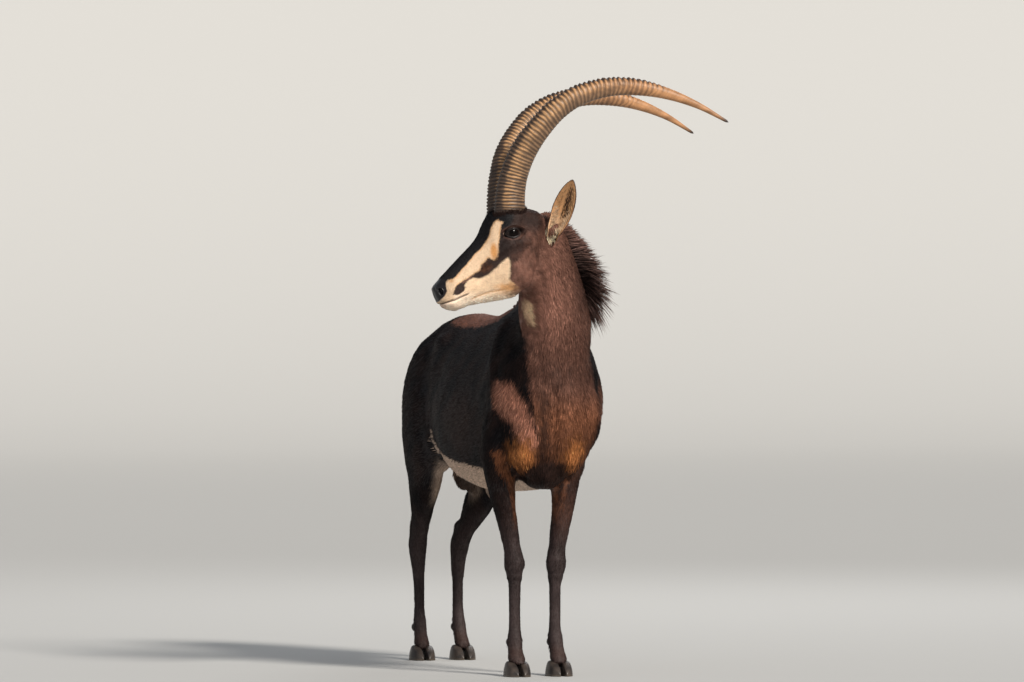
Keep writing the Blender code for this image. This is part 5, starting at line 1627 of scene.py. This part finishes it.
crest_gap, crest_share = along_path(face_middles, MANE_PATH)
near_crest = (crest_gap < 0.034) & ~((crest_share <= 0.0) & (crest_gap > 0.020))
places, normals, root_uv, draw = scatter(5200, near_crest * (0.45 + smooth(crest_share, 0.1, 0.35)), 110)
gap, share = along_path(places, MANE_PATH)
tall = np.interp(share, MANE[:, 0], MANE[:, 1])
aim = np.stack([np.interp(share, MANE[:, 0], MANE[:, k]) for k in (2, 3, 4)], axis=1)
tangent = unit(np.stack([np.interp(share, np.linspace(0, 1, len(MANE_PATH)), np.gradient(MANE_PATH[:, k]))
                         for k in range(3)], axis=1))
aim = unit(unit(aim - tangent * (aim * tangent).sum(axis=1)[:, None] * 0.6)
           + 0.10 * draw.normal(size=aim.shape) + 0.12 * wander(places, 0.03, 71)[:, None] * tangent)
start = unit(aim + 0.30 * normals)
tall = (tall + 0.006) * draw.uniform(0.72, 1.04, len(tall))
bend = (aim - start) * 0.9 + DOWN * 0.10 + 0.06 * draw.normal(size=aim.shape)
hue = mixed(MANE_HUE, BROWN * 0.80, smooth(1 - share, 0.62, 0.95))
hue = varied(hue, draw, 0.30, len(places))
tips = mixed(hue * 1.5, BROWN * 1.3, 0.35 * (draw.random(len(places)) > 0.72))
locks("mane_hair", places - normals * 0.004, normals, root_uv, start, bend, tall, 0.0044, hue, draw,
      "mane", ("mane",), 0.6, tips)

# %% [markdown]
# ## Tail brush and other long hair
# The tail ends in a black switch of hair. Elsewhere the longer hair is only a fringe: down the throat and
# breast, along the belly and behind the jaw, and in and round the ears.

# %% Grow the tail brush
brush_zone = (my > 0.745) & (mz < 0.80)
places, normals, root_uv, draw = scatter(1150, brush_zone * (0.35 + smooth(-mz, -0.78, -0.68)), 120)
fall = unit(np.array((-0.07, 0.02, -1.0)) + normals * 0.16)
fall = unit(fall + 0.03 * draw.normal(size=fall.shape))
tall = np.maximum(places[:, 2] - 0.415, 0.05) * draw.uniform(0.45, 0.9, len(places))
bend = np.array((0.0, 0.02, -1.0)) * 0.02 - normals * 0.22
hue = varied(BLACK * 1.2, draw, 0.3, len(places))
locks("tail_brush", places, normals, root_uv, fall, bend, tall, 0.0062, hue, draw,
      "mane", ("tail_tuft",), 0.7, wave=0.012)

# %% Grow the fringes


def fringe(name, count, where, seed, length, width, way_mix, droop, lift):
    """Locks over a region of skin, along the lie of the coat, lifted from the skin and drooping."""
    places, normals, root_uv, draw = scatter(count, where * ~bare, seed)
    way = lie_of_coat(places, normals)
    way = way * (1 - way_mix) + DOWN * way_mix + normals * lift
    way = unit(way + 0.08 * draw.normal(size=way.shape))
    bend = DOWN * droop - normals * lift * 0.5
    hue = varied(markings_and_painted_light(places), draw, 0.26, len(places))
    tall = length * draw.uniform(0.6, 1.1, len(places))
    return locks(name, places - normals * 0.001, normals, root_uv, way, bend, tall, width, hue, draw)


up_the_neck = smooth(mz, 0.96, 1.24)
breast = smooth(-my, 0.42, 0.50) * smooth(mz, 0.66, 0.74) * (1 - up_the_neck) * on_neck
belly = on_trunk & (mz < 0.75) & (my > -0.33) & (my < 0.33)
behind_fetlock = np.minimum(np.abs(my + 0.418), np.abs(my - 0.692)) < 0.022
fetlock = on_legs & (mz > 0.088) & (mz < 0.150) & behind_fetlock
jaw = on_the_head & (mu < -0.285) & (mf > 0.03) & (mf < 0.27)
fringe("breast_hair", 2600, breast, 130, 0.030, 0.0032, 0.2, 0.03, 0.09)
fringe("neck_hair", 3600, on_neck * up_the_neck * (crest_gap > 0.03), 131, 0.026, 0.0030, 0.1, 0.0, 0.08)
fringe("belly_fringe", 1100, belly, 132, 0.022, 0.0030, 0.1, 0.04, 0.10)
fringe("fetlock_hair", 900, fetlock, 134, 0.019, 0.0020, 0.5, 0.02, 0.35)
fringe("jaw_hair", 900, jaw, 133, 0.014, 0.0018, 0.1, 0.04, 0.12)

# %% Hair in and round the ears
INSIDE_HUE = np.array((0.62, 0.36, 0.18))


def ear_hair(hand, draw):
    """Pale hair inside both rims, pointing in and up, and a dark brush of hair along the middle."""
    _, inner, ear_t, ear_s, way, opening = ear_roots[hand]
    count = 620
    row = draw.integers(6, EAR_STEPS - 5, count)
    rim_side = np.where(draw.random(count) < 0.5, 1, -1)
    column = np.where(rim_side > 0, draw.integers(EAR_ACROSS - 9, EAR_ACROSS - 1, count),
                      draw.integers(1, 9, count))
    places = inner[row, column]
    t, s = ear_t[row, column], ear_s[row, column]
    towards = inner[row, EAR_ACROSS // 2] - places
    aim = unit(unit(towards) * 0.55 + way * 0.75 + 0.15 * draw.normal(size=places.shape))
    tall = 0.016 * (1.25 - t) * draw.uniform(0.6, 1.2, count)
    facing = np.tile(opening, (count, 1))
    hue = varied(mixed(INSIDE_HUE, CREAM, (t < 0.42) * 0.7), draw, 0.18, count)
    locks("ear_hair_" + hand, places, facing, ear_uv(t, s, 1), aim, facing * 0.12, tall, 0.0016, hue, draw)
    count = 110
    row = draw.integers(14, EAR_STEPS - 7, count)
    column = draw.integers(EAR_ACROSS // 2 - 1, EAR_ACROSS // 2 + 9, count)
    places = inner[row, column]
    t, s = ear_t[row, column], ear_s[row, column]
    aim = unit(way + 0.18 * opening + 0.18 * draw.normal(size=places.shape))
    hue = varied(BLACK_BROWN * 1.2, draw, 0.3, count)
    facing = facing[:count]
    tall = 0.013 * draw.uniform(0.6, 1.2, count)
    locks("ear_brush_" + hand, places, facing, ear_uv(t, s, 1), aim, facing * 0.05, tall, 0.0017, hue, draw)


def ear_coat(hand, draw):
    """Short coat on the back of the ear, in slivers laid along it."""
    outer, inner, ear_t, ear_s, _, opening = ear_roots[hand]
    count = 5200
    row = draw.integers(4, EAR_STEPS - 3, count)
    column = draw.integers(0, EAR_ACROSS - 1, count)
    shares = draw.random((count, 2, 1))
    places = outer[row, column] * (1 - shares[:, 0]) + outer[row, column + 1] * shares[:, 0]
    places = places + (outer[row + 1, column] - outer[row, column]) * shares[:, 1]
    centre = 0.5 * (inner[row, EAR_ACROSS // 2] + outer[row, EAR_ACROSS // 2])
    normals = unit(places - centre - opening * 0.02)
    slope = unit(outer[row + 1, column] - outer[row, column])
    beside = unit(np.cross(normals, slope))
    long = 0.0085 * draw.uniform(0.7, 1.3, count)[:, None]
    points = sliver_shape(places, slope, beside, normals, long, 0.0009, 0.0010, 0.0008)
    shading = unit(np.stack([normals + beside * 0.3, normals - beside * 0.3, normals, normals], axis=1))
    edge = smooth(np.abs(ear_s[row, column]), 0.86, 0.95)
    hue = varied(mixed(BROWN * 1.15, BLACK_BROWN, edge), draw, 0.2, count)
    colours = np.stack([hue * 0.75, hue * 0.75, hue * 1.15, hue * 0.75], axis=1)
    root_uv = ear_uv(ear_t[row, column], ear_s[row, column], -1)
    hair_piece("ear_coat_" + hand, points, SLIVER_FACES, shading, colours, root_uv, SLIVER_PATCH, "coat")


for hand, seed in (("left", 140), ("right", 141)):
    draw = np.random.default_rng(seed)
    ear_hair(hand, draw)
    ear_coat(hand, draw)

# %% White tufts in front of the ears
TUFT_WHITE = np.array((1.0, 0.78, 0.54))
for (hand, sign), seed in zip(SIDES, (150, 151)):
    tuft_zone = (np.hypot(mf + 0.041, (mu + 0.078) / 1.35) < 0.020) & (ml * sign > 0.02)
    places, normals, root_uv, draw = scatter(460, tuft_zone, seed)
    aim = unit(head_way(-0.30, -0.85, 0.10 * sign) + 0.12 * draw.normal(size=places.shape))
    pale = (wander(places, 0.012, 81) + 0.3 * draw.normal(size=len(places)) > -0.45) * 1.0
    hue = mixed(BROWN * 0.6, TUFT_WHITE, pale)
    hue = mixed(hue, TAN, 0.15 * draw.random(len(places)) ** 2)
    locks("ear_tuft_" + hand, places, normals, root_uv, aim, normals * -0.10 + np.array((0, 0, -0.15)),
          0.019 * draw.uniform(0.5, 1.0, len(places)), 0.0021, hue, draw)

# %% Hair that rises round the horn bases
base_ring = np.hypot((mf - 0.098) / 0.052, (np.abs(ml) - 0.043) / 0.039)
places, normals, root_uv, draw = scatter(1000, (base_ring > 0.92) & (base_ring < 1.12) & (mu > -0.052), 155)
aim = unit(head_way(-0.25, 0.9, 0.0) + 0.25 * normals + 0.14 * draw.normal(size=places.shape))
hue = varied(BLACK_BROWN * 0.9, draw, 0.3, len(places))
locks("horn_collar", places, normals, root_uv, aim, head_way(0.0, 0.15, 0.0) + 0 * aim,
      0.011 * draw.uniform(0.5, 1.15, len(places)), 0.0020, hue, draw)

# %% Lashes on the upper lids
for (hand, side), seed in zip(SIDES, (160, 161)):
    rings, rim_middle, rim_out = lid_rim(side)
    upper = np.arange(4, LID_SEGMENTS // 2 - 3)
    draw = np.random.default_rng(seed)
    pick = upper[draw.integers(0, len(upper), 90)]
    places = rim_middle[pick] + rim_out[pick] * 0.0012
    aim = rim_out[pick] * 0.9 + head_way(0.15, -0.10, 0.25 * side)
    aim = unit(aim + 0.12 * draw.normal(size=places.shape))
    hue = np.tile(BLACK * 0.8, (90, 1))
    locks("lashes_" + hand, places, rim_out[pick], np.tile((0.5, 0.5), (90, 1)), aim,
          head_way(0.0, 0.25, 0.0) + 0 * aim, 0.0095 * draw.uniform(0.6, 1.2, 90), 0.0007, hue, draw)
